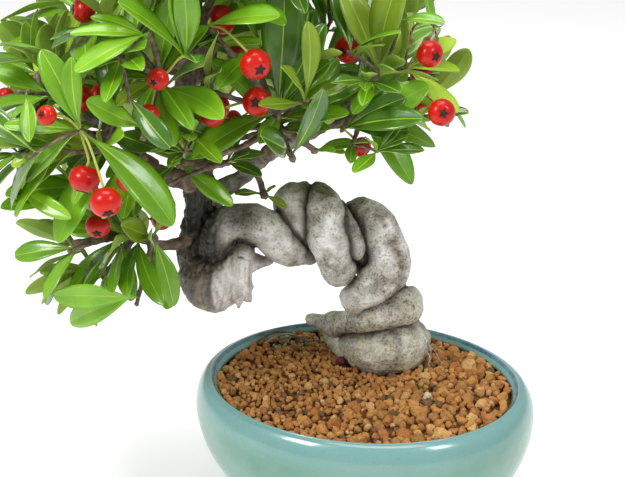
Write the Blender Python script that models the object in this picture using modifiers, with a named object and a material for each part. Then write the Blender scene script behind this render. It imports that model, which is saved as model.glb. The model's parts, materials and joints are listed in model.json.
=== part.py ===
"""A small firethorn grown as a bonsai, with a coiled trunk, in a glazed oval pot.

Metres, +Z up. The origin is the centre of the pot's flat underside, and the pot's long side lies
along X. The tree's own front is turned a little from the pot's, so its limbs are given in the
tree's frame and in millimetres, where X runs to the right across its front and Y to its back.
"""

import math
import random
from collections import namedtuple

import bmesh
import bpy
from mathutils import Matrix, Vector, noise
from mathutils.bvhtree import BVHTree

MM = 0.001
CLEARANCE = 0.3 * MM
WELD = 0.0001 * MM

# The pot, a round-bellied oval bowl on a low foot
POT_LONG = 95.0 * MM
POT_SHORT = 80.5 * MM
POT_HEIGHT = 38.0 * MM
POT_WALL = 3.2 * MM
POT_FLOOR = 4.0 * MM
RIM_LONG = 87.2 * MM
BELLY_DROP = 8.0 * MM
FOOT_LONG = 52.0 * MM
FOOT_HEIGHT = 2.6 * MM
BELLY_POWER = 1.8
TURN_STEPS = 30

# The soil, heaped round the trunk and lower at the rim, with coarse grains that make it uneven
SOIL_TOP = 38.5 * MM
SOIL_FALL = 3.0 * MM
SOIL_FLAT = 0.4
SOIL_LUMP = 1.8 * MM
LUMP_WIDE = 4.0 * MM
SOIL_RINGS = (0.18, 0.36, 0.52, 0.68, 0.82, 0.93)
TRUNK_FOOT = (5.0, 14.0)
FOOT_REACH = 17.0
FOOT_BLEND = 4.0

# The tree's front is turned this far from the pot's
FRONT_TURN = math.radians(18.84)

# The trunk, as coils that have grown into each other: each is a route of (x, y, z, radius)
TRUNK_VOXEL = 0.8 * MM
TRUNK_TRIANGLES = 1800
TRUNK_COILS = {
    "root_bulge": [(-2.5, 15, 41, 5.2), (1, 11, 42.6, 7.5), (6, 9, 43.6, 8.8), (10.6, 12, 42.5, 7.7),
                   (12, 17, 42, 6.8), (9, 21, 42, 6.3)],
    "root_flank": [(-8.5, 18, 42.5, 3), (-3, 13, 40.5, 4.5)],
    "lower_coil": [(-14.7, 24, 44.8, 1.7), (-7.8, 17, 46.5, 3.8), (1.7, 7, 53.4, 4.7), (6.7, 6, 56.1, 5.2),
                   (10.6, 10, 55.6, 5.8), (10.5, 19, 51.5, 5.4)],
    "column": [(-2.8, 4, 60.5, 4.1), (3.3, 3, 65.7, 5.5), (6.6, 5, 69.4, 6.1), (4.7, 8, 76.2, 5.8),
               (1, 11, 82.6, 4.7), (-3.2, 15, 81.2, 3.4)],
    "small_lobe": [(-5.9, 7, 84, 2.4), (-4.3, 4.5, 80.5, 3), (-2.8, 4, 75, 3)],
    "long_lobe": [(-13, 10, 88, 4.4), (-11.2, 6, 86.4, 5.4), (-10.2, 3, 80.5, 5.6), (-7.4, 4, 69.9, 5.3)],
    "over_coil": [(-16.2, 10, 88.4, 4), (-19.2, 9, 86.8, 5.8), (-17.8, 6.5, 82, 4.8), (-15.4, 6, 76.5, 2.6)],
    "back_coil": [(-20, 12, 83, 4.5), (-9, 13, 81, 5.2), (1, 11, 71, 6), (6, 12, 60, 6), (8, 15, 48, 8)],
    "side_coil": [(-42.4, 5, 71.5, 4.2), (-40.4, 3, 77.3, 4.8), (-36.2, 2, 83.6, 5.2), (-28.7, 2.5, 83, 5.4),
                  (-21.5, 4, 76, 5.2), (-15.5, 11, 72, 4)],
    "knuckle": [(-46.4, 8, 72.2, 5), (-41.3, 5, 66.6, 9.5)],
    "dead_lobe": [(-38, 6, 77, 3.5), (-33.5, 3, 77.6, 3.6), (-35.3, 2, 71, 5.2), (-35.5, 2, 65.5, 4.6)],
    "dead_stub": [(-34, 1, 65, 3), (-34.1, 0, 62.4, 1.5), (-34.4, -1, 60.3, 0.9)],
    "short_stub": [(-33, 0, 66, 2.6), (-31.8, -1, 62.7, 1.1)],
    "dead_spike": [(-31.5, 5, 71, 2.8), (-25.7, 7, 70.3, 0.8)],
    "upright": [(-46.3, 7, 72.2, 5.5), (-43.8, 10, 83.5, 5.2), (-45.4, 9, 94, 4.4), (-46.5, 8, 101, 3.7)],
}

# The boughs: the limb that carries each, its route, and its radius at each end
Bough = namedtuple("Bough", "carrier route thick thin")
BOUGHS = {
    "leader": Bough("trunk", [(-46.5, 8, 100), (-48, 4, 112), (-48, 0, 122), (-46, -3, 131)], 3.2, 1.9),
    "bough_left": Bough("trunk", [(-46, 7, 94), (-55, 2, 98), (-60, -5, 106), (-63, -11, 112)], 2.6, 1.4),
    "bough_right": Bough("trunk", [(-43, 9, 88), (-33, 10, 94), (-27, 9, 100), (-16, 6, 107)], 2.4, 1.4),
    "bough_back": Bough("trunk", [(-45, 9, 92), (-45, 20, 98), (-43, 31, 111)], 2.2, 1.3),
    "bough_low": Bough("trunk", [(-47, 6, 77), (-54, 0, 78), (-58, -4, 81)], 1.6, 1.1),
    "bough_front": Bough("bough_right", [(-26, 9, 101), (-24, 2, 106), (-24, -5, 112)], 1.6, 1.2),
    "bough_back_right": Bough("bough_right", [(-29, 9.5, 98), (-22, 17, 103), (-14, 24, 111)], 1.6, 1.2),
    "bough_back_left": Bough("bough_left", [(-56, 1, 100), (-64, 8, 104), (-71, 14, 110)], 1.6, 1.2),
    "bough_front_left": Bough("leader", [(-48, 3, 115), (-50, -6, 120), (-52, -14, 126)], 1.7, 1.2),
    "bough_upper_back": Bough("leader", [(-48, 1, 119), (-44, 10, 128), (-40, 17, 137)], 1.7, 1.2),
    "bough_fork": Bough("trunk", [(-45, 8, 98), (-44.5, 1.5, 99.5), (-47, -4, 102.5)], 1.3, 1.0),
    "bough_inner": Bough("bough_right", [(-30, 9.5, 97.5), (-29, 7.8, 95)], 1.1, 0.9),
}

# The foliage masses: the bough whose tip carries each, the middle and half sizes of the space that
# its leaves keep to, and how many sprays fill it
Mass = namedtuple("Mass", "bough middle half sprays")
MASSES = {
    "foliage_right": Mass("bough_right", (4, -2, 124), (23, 24, 34), 6),
    "foliage_front": Mass("bough_front", (-30, -13, 123), (26, 24, 31), 9),
    "foliage_left": Mass("bough_left", (-73, -24, 118), (27, 27, 31), 9),
    "foliage_low_left": Mass("bough_low", (-68, -9, 82), (24, 22, 26), 4),
    "foliage_front_left": Mass("bough_front_left", (-54, -26, 138), (24, 25, 26), 5),
    "foliage_top": Mass("leader", (-44, -5, 162), (38, 34, 25), 11),
    "foliage_top_back": Mass("bough_upper_back", (-32, 24, 156), (36, 28, 27), 9),
    "foliage_back": Mass("bough_back", (-44, 40, 120), (32, 24, 31), 8),
    "foliage_back_right": Mass("bough_back_right", (-2, 28, 124), (28, 27, 30), 8),
    "foliage_back_left": Mass("bough_back_left", (-78, 20, 120), (24, 28, 31), 8),
    "foliage_fork": Mass("bough_fork", (-48, -10, 105), (20, 16, 16), 1),
    "foliage_inner": Mass("bough_inner", (-26, 4, 92), (16, 14, 12), 0),
}

# The sprays that show at the front, each a place where leaves start and the tips that they reach
FRONT_SPRAYS = {
    "foliage_right": {
        (3, -6, 128): [(8, -14, 157), (-7, -2, 151), (-17, -16, 123), (-4, -16, 121)],
        (10, -4, 129): [(23, -12, 120), (24, 1, 127), (23, 6, 134)],
        (-2, 0, 116): [(12, -6, 98), (18, -2, 107)],
    },
    "foliage_front": {
        (-23, -14, 121): [(-44, -26, 113), (-21, -10, 155), (-11, -14, 144)],
        (-40, -22, 146): [(-22, -30, 151)],
    },
    "foliage_left": {(-70, -42, 126): [(-48, -46, 103), (-84, -40, 112)]},
    "foliage_front_left": {
        (-52, -26, 134): [(-58, -32, 124)],
        (-53, -38, 149): [(-70, -46, 142)],
    },
    "foliage_low_left": {
        (-65, -8, 84): [(-79, -12, 88), (-78, -12, 70), (-62, -14, 68), (-60, 2, 92)],
        (-56, -9, 84): [(-51, -13, 66)],
    },
    "foliage_fork": {(-50, -9, 106): [(-35, -11, 94), (-60, -14, 98), (-47, -20, 116)]},
    "foliage_inner": {(-27, 5, 92): [(-21, 2, 88), (-35, 2, 92), (-24, 3, 94)]},
}

# The berries that show at the front, on the mass that bears them
FRONT_BERRIES = {
    "foliage_front": [(-28, -31, 139), (-39, -26, 125), (-28, -24, 127), (-21, -8, 134), (-37, -10, 144)],
    "foliage_left": [(-69, -46, 115), (-63, -56, 113), (-71, -36, 132)],
    "foliage_right": [(14, 4, 126), (15, 0, 118), (-1, 14, 101)],
}

# The growing rule
CROWN_MIDDLE = (-38, 4, 118)
SPRAY_ROOM = 10.0
SPRAY_REACH = 0.72
SEEDED_REACH = 1.05
FRONT_REACH = 1.35
LEAVES_PER_SPRAY = 6
LEAF_LONG = (18.0, 28.0)
LEAF_SLIM = (0.26, 0.36)
FRONT_SLIM = 0.32
FRONT_FACE = (0, -0.55, 1)
ROOT_STEP = 0.1
LEAF_TILT = (35.0, 82.0)
LEAF_ARCH = 0.22
LEAF_FOLD = 0.22
LEAF_THICK = 0.5
LEAF_WIDEST = 0.6
SHOOT_LONG = 3.5
GOLDEN_ANGLE = math.radians(137.5)
TWIG_THIN = 0.5
STEM_LONG = 5.0
DETOUR = 0.35
LIMB_GAP = 1.0
LEAF_GAP = 0.45
BERRY_RADIUS = 3.9
BALL_SWELL = 1.26
BERRY_SHARE = 0.22
STALK_RADIUS = 0.35
STALK_LONG = (9.0, 14.0)
STALK_RISE = (-0.9, 0.7)
STALK_CLEAR = (0.2, 0.9)
SUNK = 0.3

# Seeded leaves stay above the crown's underside, over which the trunk's arch shows
SKIRT_SIDE = -50.0
SKIRT_MIDDLE = -20.0
SKIRT_LOW = 101.0
SKIRT_HIGH = 108.0
SKIRT_SLOPE = 0.42

Leaf = namedtuple("Leaf", "base tip face width")
Twig = namedtuple("Twig", "start end thick thin")
Berry = namedtuple("Berry", "middle stalk")


def outline(along):
    """A leaf's half width at a share of its length, widest past the middle and blunt at its tip."""
    return math.sin(math.pi * min(max((along - 0.06) / 0.94, 0), 1) ** 1.2) ** 0.75 + 0.06


def leaf_point(leaf, along, across, lift):
    """A point of a leaf, which arches from base to tip and folds up along its midrib."""
    run = leaf.tip - leaf.base
    side = run.cross(leaf.face).normalized()
    half = leaf.width / 2 * outline(along)
    rise = LEAF_ARCH * run.length * along * (1 - along) + LEAF_FOLD * half * abs(across) + lift
    return leaf.base + run * along + side * (half * across) + leaf.face * rise


def leaf_shell(leaf, swell):
    """A few points and faces round a leaf's blade, swollen for the tests of room."""
    points = [leaf_point(leaf, 0.16, 0, 0)]
    for along in (0.4, 0.65, 0.88):
        reach = 1 + swell / (leaf.width / 2 * outline(along))
        points += [leaf_point(leaf, along, -reach, 0), leaf_point(leaf, along, 0, swell),
                   leaf_point(leaf, along, reach, 0), leaf_point(leaf, along, 0, -swell)]
    points.append(leaf.tip + (leaf.tip - leaf.base).normalized() * swell)
    faces = [(0, 1 + i, 1 + (i + 1) % 4) for i in range(4)]
    for ring in (1, 5):
        faces += [(ring + i, ring + 4 + i, ring + 4 + (i + 1) % 4, ring + (i + 1) % 4) for i in range(4)]
    faces += [(9 + i, 13, 9 + (i + 1) % 4) for i in range(4)]
    return points, faces


def twig_shell(start, end, radius):
    """A three-sided bar round a twig, for the tests of room."""
    turn = (end - start).to_track_quat("Z", "Y")
    corners = [turn @ Vector((radius * math.cos(a), radius * math.sin(a), 0)) for a in (0, 2.1, 4.2)]
    points = [start + corner for corner in corners] + [end + corner for corner in corners]
    return points, [(0, 1, 4, 3), (1, 2, 5, 4), (2, 0, 3, 5), (0, 2, 1), (3, 4, 5)]


def ball_shell(middle, radius):
    """A twenty-sided ball round a berry, for the tests of room."""
    shape = bmesh.new()
    bmesh.ops.create_icosphere(shape, subdivisions=1, radius=radius * BALL_SWELL)
    points = [middle + vert.co for vert in shape.verts]
    faces = [tuple(vert.index for vert in face.verts) for face in shape.faces]
    shape.free()
    return points, faces


class Room:
    """The space that the limbs, twigs, leaves and berries placed so far take up."""

    def __init__(self, limbs):
        self.limbs = limbs
        self.taken = []

    def limb_gap(self, point):
        """How far a point lies from the nearest limb's bark."""
        gaps = []
        for start, end, thick, thin in self.limbs:
            run = end - start
            share = min(max((point - start).dot(run) / run.length_squared, 0), 1)
            gaps.append((point - start - run * share).length - thick - (thin - thick) * share)
        return min(gaps)

    def free(self, shell, owner=None):
        """Whether a shell meets nothing placed so far, apart from what has the same owner."""
        points, faces = shell
        middle = sum(points, Vector()) / len(points)
        reach = max((point - middle).length for point in points)
        tree = None
        for other_middle, other_reach, other_tree, other_owner in self.taken:
            if other_owner == owner and owner is not None:
                continue
            if (other_middle - middle).length > other_reach + reach:
                continue
            tree = tree or BVHTree.FromPolygons(points, faces)
            if tree.overlap(other_tree):
                return False
        return True

    def take(self, shell, owner=None):
        points, faces = shell
        middle = sum(points, Vector()) / len(points)
        reach = max((point - middle).length for point in points)
        self.taken.append((middle, reach, BVHTree.FromPolygons(points, faces), owner))


class Plant:
    """One mass as it grows: the nodes where its twigs fork, and what they carry."""

    def __init__(self, name, mass, bough, room):
        self.name = name
        self.mass = mass
        self.room = room
        self.twigs = []
        self.leaves = []
        self.berries = []
        last, tip = Vector(bough.route[-2]), Vector(bough.route[-1])
        way = (tip - last).normalized()
        start = tip + way * (CLEARANCE / MM)
        self.nodes = [(start + way * STEM_LONG, 0)]
        self.twigs.append(Twig(start, start + way * STEM_LONG, bough.thin, bough.thin * 0.9))

    def inside(self, point, share=1.0):
        offset = point - Vector(self.mass.middle)
        return sum((offset[i] / self.mass.half[i]) ** 2 for i in range(3)) < share * share

    def branch(self, place):
        """Grow a twig to a place from the node that reaches it best, and give the node it ends at."""
        if (self.nodes[0][0] - place).length < STEM_LONG / 2:
            return self.nodes[0][0]
        ways = sorted(self.nodes, key=lambda node: (node[0] - place).length + DETOUR * node[1])
        for node, path in ways[:4]:
            steps = [node.lerp(place, share) for share in (0.25, 0.5, 0.75, 1)]
            if min(self.room.limb_gap(step) for step in steps) < LIMB_GAP:
                continue
            shell = twig_shell(node.lerp(place, 0.12), place, TWIG_THIN + LEAF_GAP)
            if not self.room.free(shell, self.name):
                continue
            self.room.take(shell, self.name)
            long = path + (place - node).length
            self.twigs.append(Twig(node, place, twig_radius(path), twig_radius(long)))
            self.nodes.append((place, long))
            return place
        return None

    def add_leaf(self, base, tip, face, width, seeded=False):
        """Add a leaf if it has room. False where it has none."""
        run = tip - base
        face = (face - run * (face.dot(run) / run.length_squared)).normalized()
        leaf = Leaf(base, tip, face, width)
        marks = [leaf_point(leaf, along, across, 0) for along, across in
                 ((0.35, 0), (0.6, -1), (0.6, 1), (0.8, 0), (1, 0))]
        if min(self.room.limb_gap(mark) for mark in marks) < LIMB_GAP:
            return False
        reach = SEEDED_REACH if seeded else FRONT_REACH
        if not all(self.inside(mark, reach) for mark in marks):
            return False
        if seeded and not all(above_skirt(mark) for mark in marks):
            return False
        shell = leaf_shell(leaf, LEAF_GAP)
        if not self.room.free(shell):
            return False
        self.room.take(shell)
        self.leaves.append(leaf)
        return True

    def add_berry(self, node, middle):
        """Hang a berry on its stalk from a node, if it has room. False where it has none."""
        shell = ball_shell(middle, BERRY_RADIUS + LEAF_GAP)
        start, end = (node.lerp(middle, share) for share in STALK_CLEAR)
        stalk = twig_shell(start, end, STALK_RADIUS + LEAF_GAP)
        if self.room.limb_gap(middle) < BERRY_RADIUS + LIMB_GAP:
            return False
        if not self.room.free(shell) or not self.room.free(stalk, self.name):
            return False
        self.room.take(shell)
        self.room.take(stalk, self.name)
        self.berries.append(Berry(middle, node))
        return True

    def hang_berry(self, node, draw):
        """Hang a berry at a seeded place round a node."""
        for _ in range(8):
            turn = draw.uniform(0, 2 * math.pi)
            way = Vector((math.cos(turn), math.sin(turn), draw.uniform(*STALK_RISE))).normalized()
            middle = node + way * draw.uniform(*STALK_LONG)
            if self.inside(middle) and above_skirt(middle) and self.add_berry(node, middle):
                return

    def open_spray(self, twig, way, draw):
        """Leaves in a spiral up the end of a twig, each turned by the golden angle from the last."""
        turn_start = draw.uniform(0, 2 * math.pi)
        frame = way.to_track_quat("Z", "Y")
        axis = (twig.end - twig.start).normalized()
        for number in range(LEAVES_PER_SPRAY):
            base = twig.end - axis * SHOOT_LONG * (1 - number / LEAVES_PER_SPRAY)
            for attempt in range(5):
                turn = turn_start + GOLDEN_ANGLE * number + attempt * 0.45
                tilt = math.radians(draw.uniform(*LEAF_TILT))
                lean = frame @ Vector((math.sin(tilt) * math.cos(turn), math.sin(tilt) * math.sin(turn),
                                       math.cos(tilt)))
                long = draw.uniform(*LEAF_LONG)
                face = way + Vector((0, 0, 0.8)) - lean * 0.2
                width = long * draw.uniform(*LEAF_SLIM)
                if self.add_leaf(base, base + lean * long, face, width, seeded=True):
                    break


def above_skirt(point):
    """Whether a point is above the crown's underside, which is open to the left."""
    if point.x < SKIRT_SIDE:
        return True
    return point.z + SKIRT_SLOPE * point.y > (SKIRT_LOW if point.x < SKIRT_MIDDLE else SKIRT_HIGH)


def twig_radius(path):
    """A twig's radius at a distance along the twigs from its bough's tip."""
    return max(1.05 - 0.022 * path, TWIG_THIN)


def limb_capsules():
    """The trunk and boughs as straight lengths of (start, end, thick, thin), for the tests of room."""
    capsules = []
    for route in TRUNK_COILS.values():
        for one, two in zip(route, route[1:]):
            capsules.append((Vector(one[:3]), Vector(two[:3]), one[3], two[3]))
    for bough in BOUGHS.values():
        steps = len(bough.route) - 1
        for i in range(steps):
            radii = [bough.thick + (bough.thin - bough.thick) * share / steps for share in (i, i + 1)]
            capsules.append((Vector(bough.route[i]), Vector(bough.route[i + 1]), *radii))
    return capsules


def near_nodes(plant, place):
    """A mass's nodes that a berry's stalk may reach a place from, nearest first."""
    nodes = sorted((node for node, _ in plant.nodes), key=lambda node: (node - place).length)
    return [node for node in nodes[:3] if (node - place).length > BERRY_RADIUS]


def grow_crown():
    """Grow every mass: first the sprays that show at the front, then seeded ones through its space."""
    room = Room(limb_capsules())
    plants = {name: Plant(name, mass, BOUGHS[mass.bough], room) for name, mass in MASSES.items()}
    draws = {name: random.Random(number + 7) for number, name in enumerate(MASSES)}
    for plant in plants.values():
        stem = plant.twigs[0]
        room.take(twig_shell(stem.start, stem.end, stem.thick + LEAF_GAP), plant.name)
    front = []
    for name, sprays in FRONT_SPRAYS.items():
        for place, tips in sprays.items():
            node = plants[name].branch(Vector(place))
            if node is not None:
                front.append((plants[name], node, tips))
    for name, places in FRONT_BERRIES.items():
        for place in places:
            for node in near_nodes(plants[name], Vector(place)):
                if plants[name].add_berry(node, Vector(place)):
                    break
    for plant, node, tips in front:
        for number, tip in enumerate(tips):
            way = Vector(tip) - node
            base = node + way.normalized() * ROOT_STEP * number
            plant.add_leaf(base, Vector(tip), Vector(FRONT_FACE), FRONT_SLIM * way.length)
    for name, plant in plants.items():
        draw = draws[name]
        placed = 0
        for _ in range(600):
            if placed == plant.mass.sprays:
                break
            way = Vector((draw.gauss(0, 1), draw.gauss(0, 1), draw.gauss(0, 1))).normalized()
            reach = SPRAY_REACH * draw.uniform(0.35, 1) ** 0.5
            node = Vector([plant.mass.middle[i] + way[i] * reach * plant.mass.half[i] for i in range(3)])
            others = [other for near in plants.values() for other, _ in near.nodes]
            if min((other - node).length for other in others) < SPRAY_ROOM:
                continue
            if room.limb_gap(node) > SPRAY_ROOM / 2 and plant.branch(node):
                placed += 1
    for name, plant in plants.items():
        draw = draws[name]
        for twig in plant.twigs:
            node = twig.end
            outward = (node - Vector(CROWN_MIDDLE)).normalized()
            way = ((node - twig.start).normalized() + outward + Vector((0, 0, 0.4))).normalized()
            if draw.random() < BERRY_SHARE:
                plant.hang_berry(node, draw)
            plant.open_spray(twig, way, draw)
    return plants


def tree_matrix():
    """From the tree's frame in millimetres to the part's frame in metres."""
    return Matrix.Rotation(FRONT_TURN, 4, "Z") @ Matrix.Scale(MM, 4)


def clear_scene():
    for found in list(bpy.data.objects):
        bpy.data.objects.remove(found, do_unlink=True)


def new_collection(name):
    made = bpy.data.collections.new(name)
    bpy.context.scene.collection.children.link(made)
    return made


def surface(name, colour, roughness):
    """A plain surface of one colour."""
    made = bpy.data.materials.new(name)
    made.use_nodes = True
    shader = made.node_tree.nodes["Principled BSDF"]
    shader.inputs["Base Color"].default_value = (*colour, 1)
    shader.inputs["Roughness"].default_value = roughness
    shader.inputs["Metallic"].default_value = 0
    return made


def mesh_object(name, mesh, collection):
    made = bpy.data.objects.new(name, mesh)
    collection.objects.link(made)
    return made


def baked(source, name, collection):
    """The evaluated mesh of an object, in the part's frame, as an object of its own. The source goes."""
    graph = bpy.context.evaluated_depsgraph_get()
    graph.update()
    mesh = bpy.data.meshes.new_from_object(source.evaluated_get(graph))
    mesh.transform(source.matrix_world)
    bpy.data.objects.remove(source, do_unlink=True)
    shape = bmesh.new()
    shape.from_mesh(mesh)
    bmesh.ops.remove_doubles(shape, verts=shape.verts, dist=WELD)
    shape.to_mesh(mesh)
    shape.free()
    mesh.name = name
    return mesh_object(name, mesh, collection)


def turned(name, profile, collection):
    """A closed profile of (radius, height) turned about Z, and pressed to the pot's oval."""
    mesh = bpy.data.meshes.new(name)
    points = [(radius, 0, height) for radius, height in profile]
    mesh.from_pydata(points, [(i, i + 1) for i in range(len(points) - 1)], [])
    made = mesh_object(name, mesh, collection)
    made.scale = (1, POT_SHORT / POT_LONG, 1)
    screw = made.modifiers.new("Turn", "SCREW")
    screw.steps = screw.render_steps = TURN_STEPS
    screw.use_merge_vertices = True
    screw.merge_threshold = 0.00001
    screw.use_smooth_shade = True
    return made


def belly_radius(height):
    """The pot's outer half length at a height, from its foot to its rim."""
    belly, rim, foot = POT_LONG / 2, RIM_LONG / 2, FOOT_LONG / 2
    widest = POT_HEIGHT - BELLY_DROP
    if height >= widest:
        share = (height - widest) / BELLY_DROP
        return rim + (belly - rim) * (math.sqrt(1 - 0.96 * share * share) - 0.2) / 0.8
    share = (widest - height) / (widest - FOOT_HEIGHT)
    return foot + (belly - foot) * (1 - min(share, 1) ** BELLY_POWER) ** (1 / BELLY_POWER)


def pot_profile():
    """Up the inside from the floor's centre, over the rim and down the outside to the foot."""
    floor_top = FOOT_HEIGHT + POT_FLOOR
    heights = [FOOT_HEIGHT + (POT_HEIGHT - FOOT_HEIGHT) * share
               for share in (0.015, 0.06, 0.14, 0.27, 0.42, 0.57, 0.7, 0.82, 0.91, 0.97)]
    outer = [(belly_radius(height), height) for height in heights]
    inner = [(radius - POT_WALL, height) for radius, height in outer if height > floor_top + 1 * MM]
    floor = [(0, floor_top), (inner[0][0] - 3 * MM, floor_top)]
    edge = belly_radius(POT_HEIGHT)
    rim = [(edge - 1.9 * MM, POT_HEIGHT - 0.4 * MM), (edge - 1.1 * MM, POT_HEIGHT),
           (edge - 0.3 * MM, POT_HEIGHT - 0.4 * MM)]
    foot = [(FOOT_LONG / 2, FOOT_HEIGHT), (FOOT_LONG / 2 - 0.4 * MM, 0), (0, 0)]
    return floor + inner + rim + outer[::-1] + foot


def make_pot(collection):
    pot = turned("pot", pot_profile(), collection)
    pot.data.materials.append(surface("celadon_glaze", (0.35, 0.60, 0.54), 0.18))


def make_soil(collection):
    """The soil fills the pot clear of its wall, with an uneven top that is flat under the trunk."""
    floor = FOOT_HEIGHT + POT_FLOOR + CLEARANCE
    inside = RIM_LONG / 2 - POT_WALL - 1.5 * CLEARANCE
    top = [(0, SOIL_TOP)] + [(inside * share, SOIL_TOP) for share in SOIL_RINGS]
    edge = [(inside, SOIL_TOP - SOIL_FALL - SOIL_LUMP / 2)]
    side = [(belly_radius(height * MM) - POT_WALL - 3 * CLEARANCE, height * MM)
            for height in (32, 27, 22, 17, 12, 9)]
    soil = turned("soil", top + edge + side + [(side[-1][0] - 4 * MM, floor), (0, floor)], collection)
    soil = baked(soil, "soil", collection)
    foot = tree_matrix() @ Vector((*TRUNK_FOOT, 0))
    for vert in soil.data.vertices:
        if vert.co.z < SOIL_TOP - WELD:
            continue
        out = math.hypot(vert.co.x, vert.co.y * POT_LONG / POT_SHORT) / inside
        fall = min(max((out - SOIL_FLAT) / (1 - SOIL_FLAT), 0), 1)
        away = math.hypot(vert.co.x - foot.x, vert.co.y - foot.y) / MM
        clear = min(max((away - FOOT_REACH) / FOOT_BLEND, 0), 1)
        lump = noise.noise(vert.co / LUMP_WIDE) * SOIL_LUMP
        vert.co.z -= clear * (SOIL_FALL * fall * fall * (3 - 2 * fall) + max(lump, -fall * SOIL_FALL / 2))
    soil.data.materials.clear()
    soil.data.materials.append(surface("baked_clay_grains", (0.42, 0.22, 0.10), 0.9))


def limb_tube(name, route, collection, sides=4, steps=6):
    """A limb along a smooth curve through its route of (x, y, z, radius), with flat ends."""
    curve = bpy.data.curves.new(name, "CURVE")
    curve.dimensions = "3D"
    curve.bevel_depth = 1.0
    curve.bevel_resolution = sides
    curve.use_fill_caps = True
    curve.resolution_u = curve.render_resolution_u = steps
    spline = curve.splines.new("BEZIER")
    spline.bezier_points.add(len(route) - 1)
    for point, (x, y, z, radius) in zip(spline.bezier_points, route):
        point.co = (x, y, z)
        point.radius = radius
        point.handle_left_type = point.handle_right_type = "AUTO"
    made = mesh_object(name, curve, collection)
    made.matrix_world = tree_matrix()
    return baked(made, name, collection)


def ball(name, x, y, z, radius, collection, segments=16, rings=10):
    shape = bmesh.new()
    bmesh.ops.create_uvsphere(shape, u_segments=segments, v_segments=rings, radius=radius)
    mesh = bpy.data.meshes.new(name)
    shape.to_mesh(mesh)
    shape.free()
    mesh.transform(tree_matrix() @ Matrix.Translation((x, y, z)))
    return mesh_object(name, mesh, collection)


def joined(pieces, name, collection):
    """Several closed meshes in one object, still as separate shells."""
    shape = bmesh.new()
    for piece in pieces:
        shape.from_mesh(piece.data)
        bpy.data.objects.remove(piece, do_unlink=True)
    mesh = bpy.data.meshes.new(name)
    shape.to_mesh(mesh)
    shape.free()
    return mesh_object(name, mesh, collection)


def cut_flat(piece, height):
    """Cut a closed mesh off below a height, and close the cut."""
    shape = bmesh.new()
    shape.from_mesh(piece.data)
    cut = bmesh.ops.bisect_plane(shape, geom=shape.verts[:] + shape.edges[:] + shape.faces[:], dist=1e-7,
                                 plane_co=(0, 0, height), plane_no=(0, 0, -1), clear_outer=True)
    edges = [item for item in cut["geom_cut"] if isinstance(item, bmesh.types.BMEdge)]
    bmesh.ops.triangle_fill(shape, edges=edges, use_beauty=True, use_dissolve=False)
    bmesh.ops.recalc_face_normals(shape, faces=shape.faces)
    shape.to_mesh(piece.data)
    shape.free()


def make_trunk(collection):
    """The coils grown into one body, cut flat where they meet the soil."""
    pieces = []
    for name, route in TRUNK_COILS.items():
        pieces.append(limb_tube(name, route, collection))
        pieces += [ball(name, *end, collection) for end in (route[0], route[-1])]
    trunk = joined(pieces, "trunk", collection)
    grown = trunk.modifiers.new("Grown together", "REMESH")
    grown.mode = "VOXEL"
    grown.voxel_size = TRUNK_VOXEL
    soft = trunk.modifiers.new("Softened", "SMOOTH")
    soft.factor = 0.5
    soft.iterations = 2
    trunk = baked(trunk, "trunk", collection)
    fewer = trunk.modifiers.new("Fewer faces", "DECIMATE")
    fewer.ratio = TRUNK_TRIANGLES / (2 * len(trunk.data.polygons))
    trunk = baked(trunk, "trunk", collection)
    keep_largest_body(trunk)
    cut_flat(trunk, SOIL_TOP + CLEARANCE)
    trunk.data.materials.append(surface("bark", (0.36, 0.32, 0.26), 0.85))
    return trunk


def cut_clear(piece, carrier, cutters):
    """Cut the foot of a limb to the bark of the limb that carries it, a clearance away."""
    cutter = mesh_object(carrier.name + "_swollen", carrier.data.copy(), cutters)
    swell = cutter.modifiers.new("Clearance", "DISPLACE")
    swell.mid_level = 0
    swell.strength = CLEARANCE
    cutter.hide_render = True
    cutter.display_type = "WIRE"
    cut = piece.modifiers.new("Foot", "BOOLEAN")
    cut.operation = "DIFFERENCE"
    cut.object = cutter
    return cutter


def make_boughs(trunk, collection, cutters):
    """Each bough is one tapering limb, cut to the limb that carries it."""
    bark = surface("young_bark", (0.30, 0.21, 0.13), 0.8)
    limbs = {"trunk": trunk}
    for name, bough in BOUGHS.items():
        steps = len(bough.route) - 1
        route = [(*point, bough.thick + (bough.thin - bough.thick) * i / steps)
                 for i, point in enumerate(bough.route)]
        limb = limb_tube(name, route, collection, sides=1, steps=3)
        cutter = cut_clear(limb, limbs[bough.carrier], cutters)
        limb = baked(limb, name, collection)
        bpy.data.objects.remove(cutter, do_unlink=True)
        keep_largest_body(limb)
        limb.data.materials.append(bark)
        limbs[name] = limb


def leaf_body(leaf, collection):
    """A leaf as a flattened ball of eight faces, drawn out from its root to its tip."""
    shape = bmesh.new()
    bmesh.ops.create_uvsphere(shape, u_segments=4, v_segments=2, radius=1)
    for vert in shape.verts:
        x, y, z = vert.co
        if abs(z) > 0.5:
            vert.co = leaf_point(leaf, round(0.5 + 0.5 * z), 0, 0)
        else:
            vert.co = leaf_point(leaf, LEAF_WIDEST, x, LEAF_THICK / 2 * y)
    bmesh.ops.recalc_face_normals(shape, faces=shape.faces)
    mesh = bpy.data.meshes.new("leaf")
    shape.to_mesh(mesh)
    shape.free()
    mesh.transform(tree_matrix())
    return mesh_object("leaf", mesh, collection)


def twig_body(start, end, thick, thin, collection):
    """A three-sided twig, a little longer at each end so that it is sunk in its neighbours."""
    shape = bmesh.new()
    bmesh.ops.create_cone(shape, cap_ends=True, segments=3, radius1=thick, radius2=thin,
                          depth=(end - start).length)
    mesh = bpy.data.meshes.new("twig")
    shape.to_mesh(mesh)
    shape.free()
    turn = (end - start).to_track_quat("Z", "Y").to_matrix().to_4x4()
    mesh.transform(tree_matrix() @ Matrix.Translation((start + end) / 2) @ turn)
    return mesh_object("twig", mesh, collection)


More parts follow.
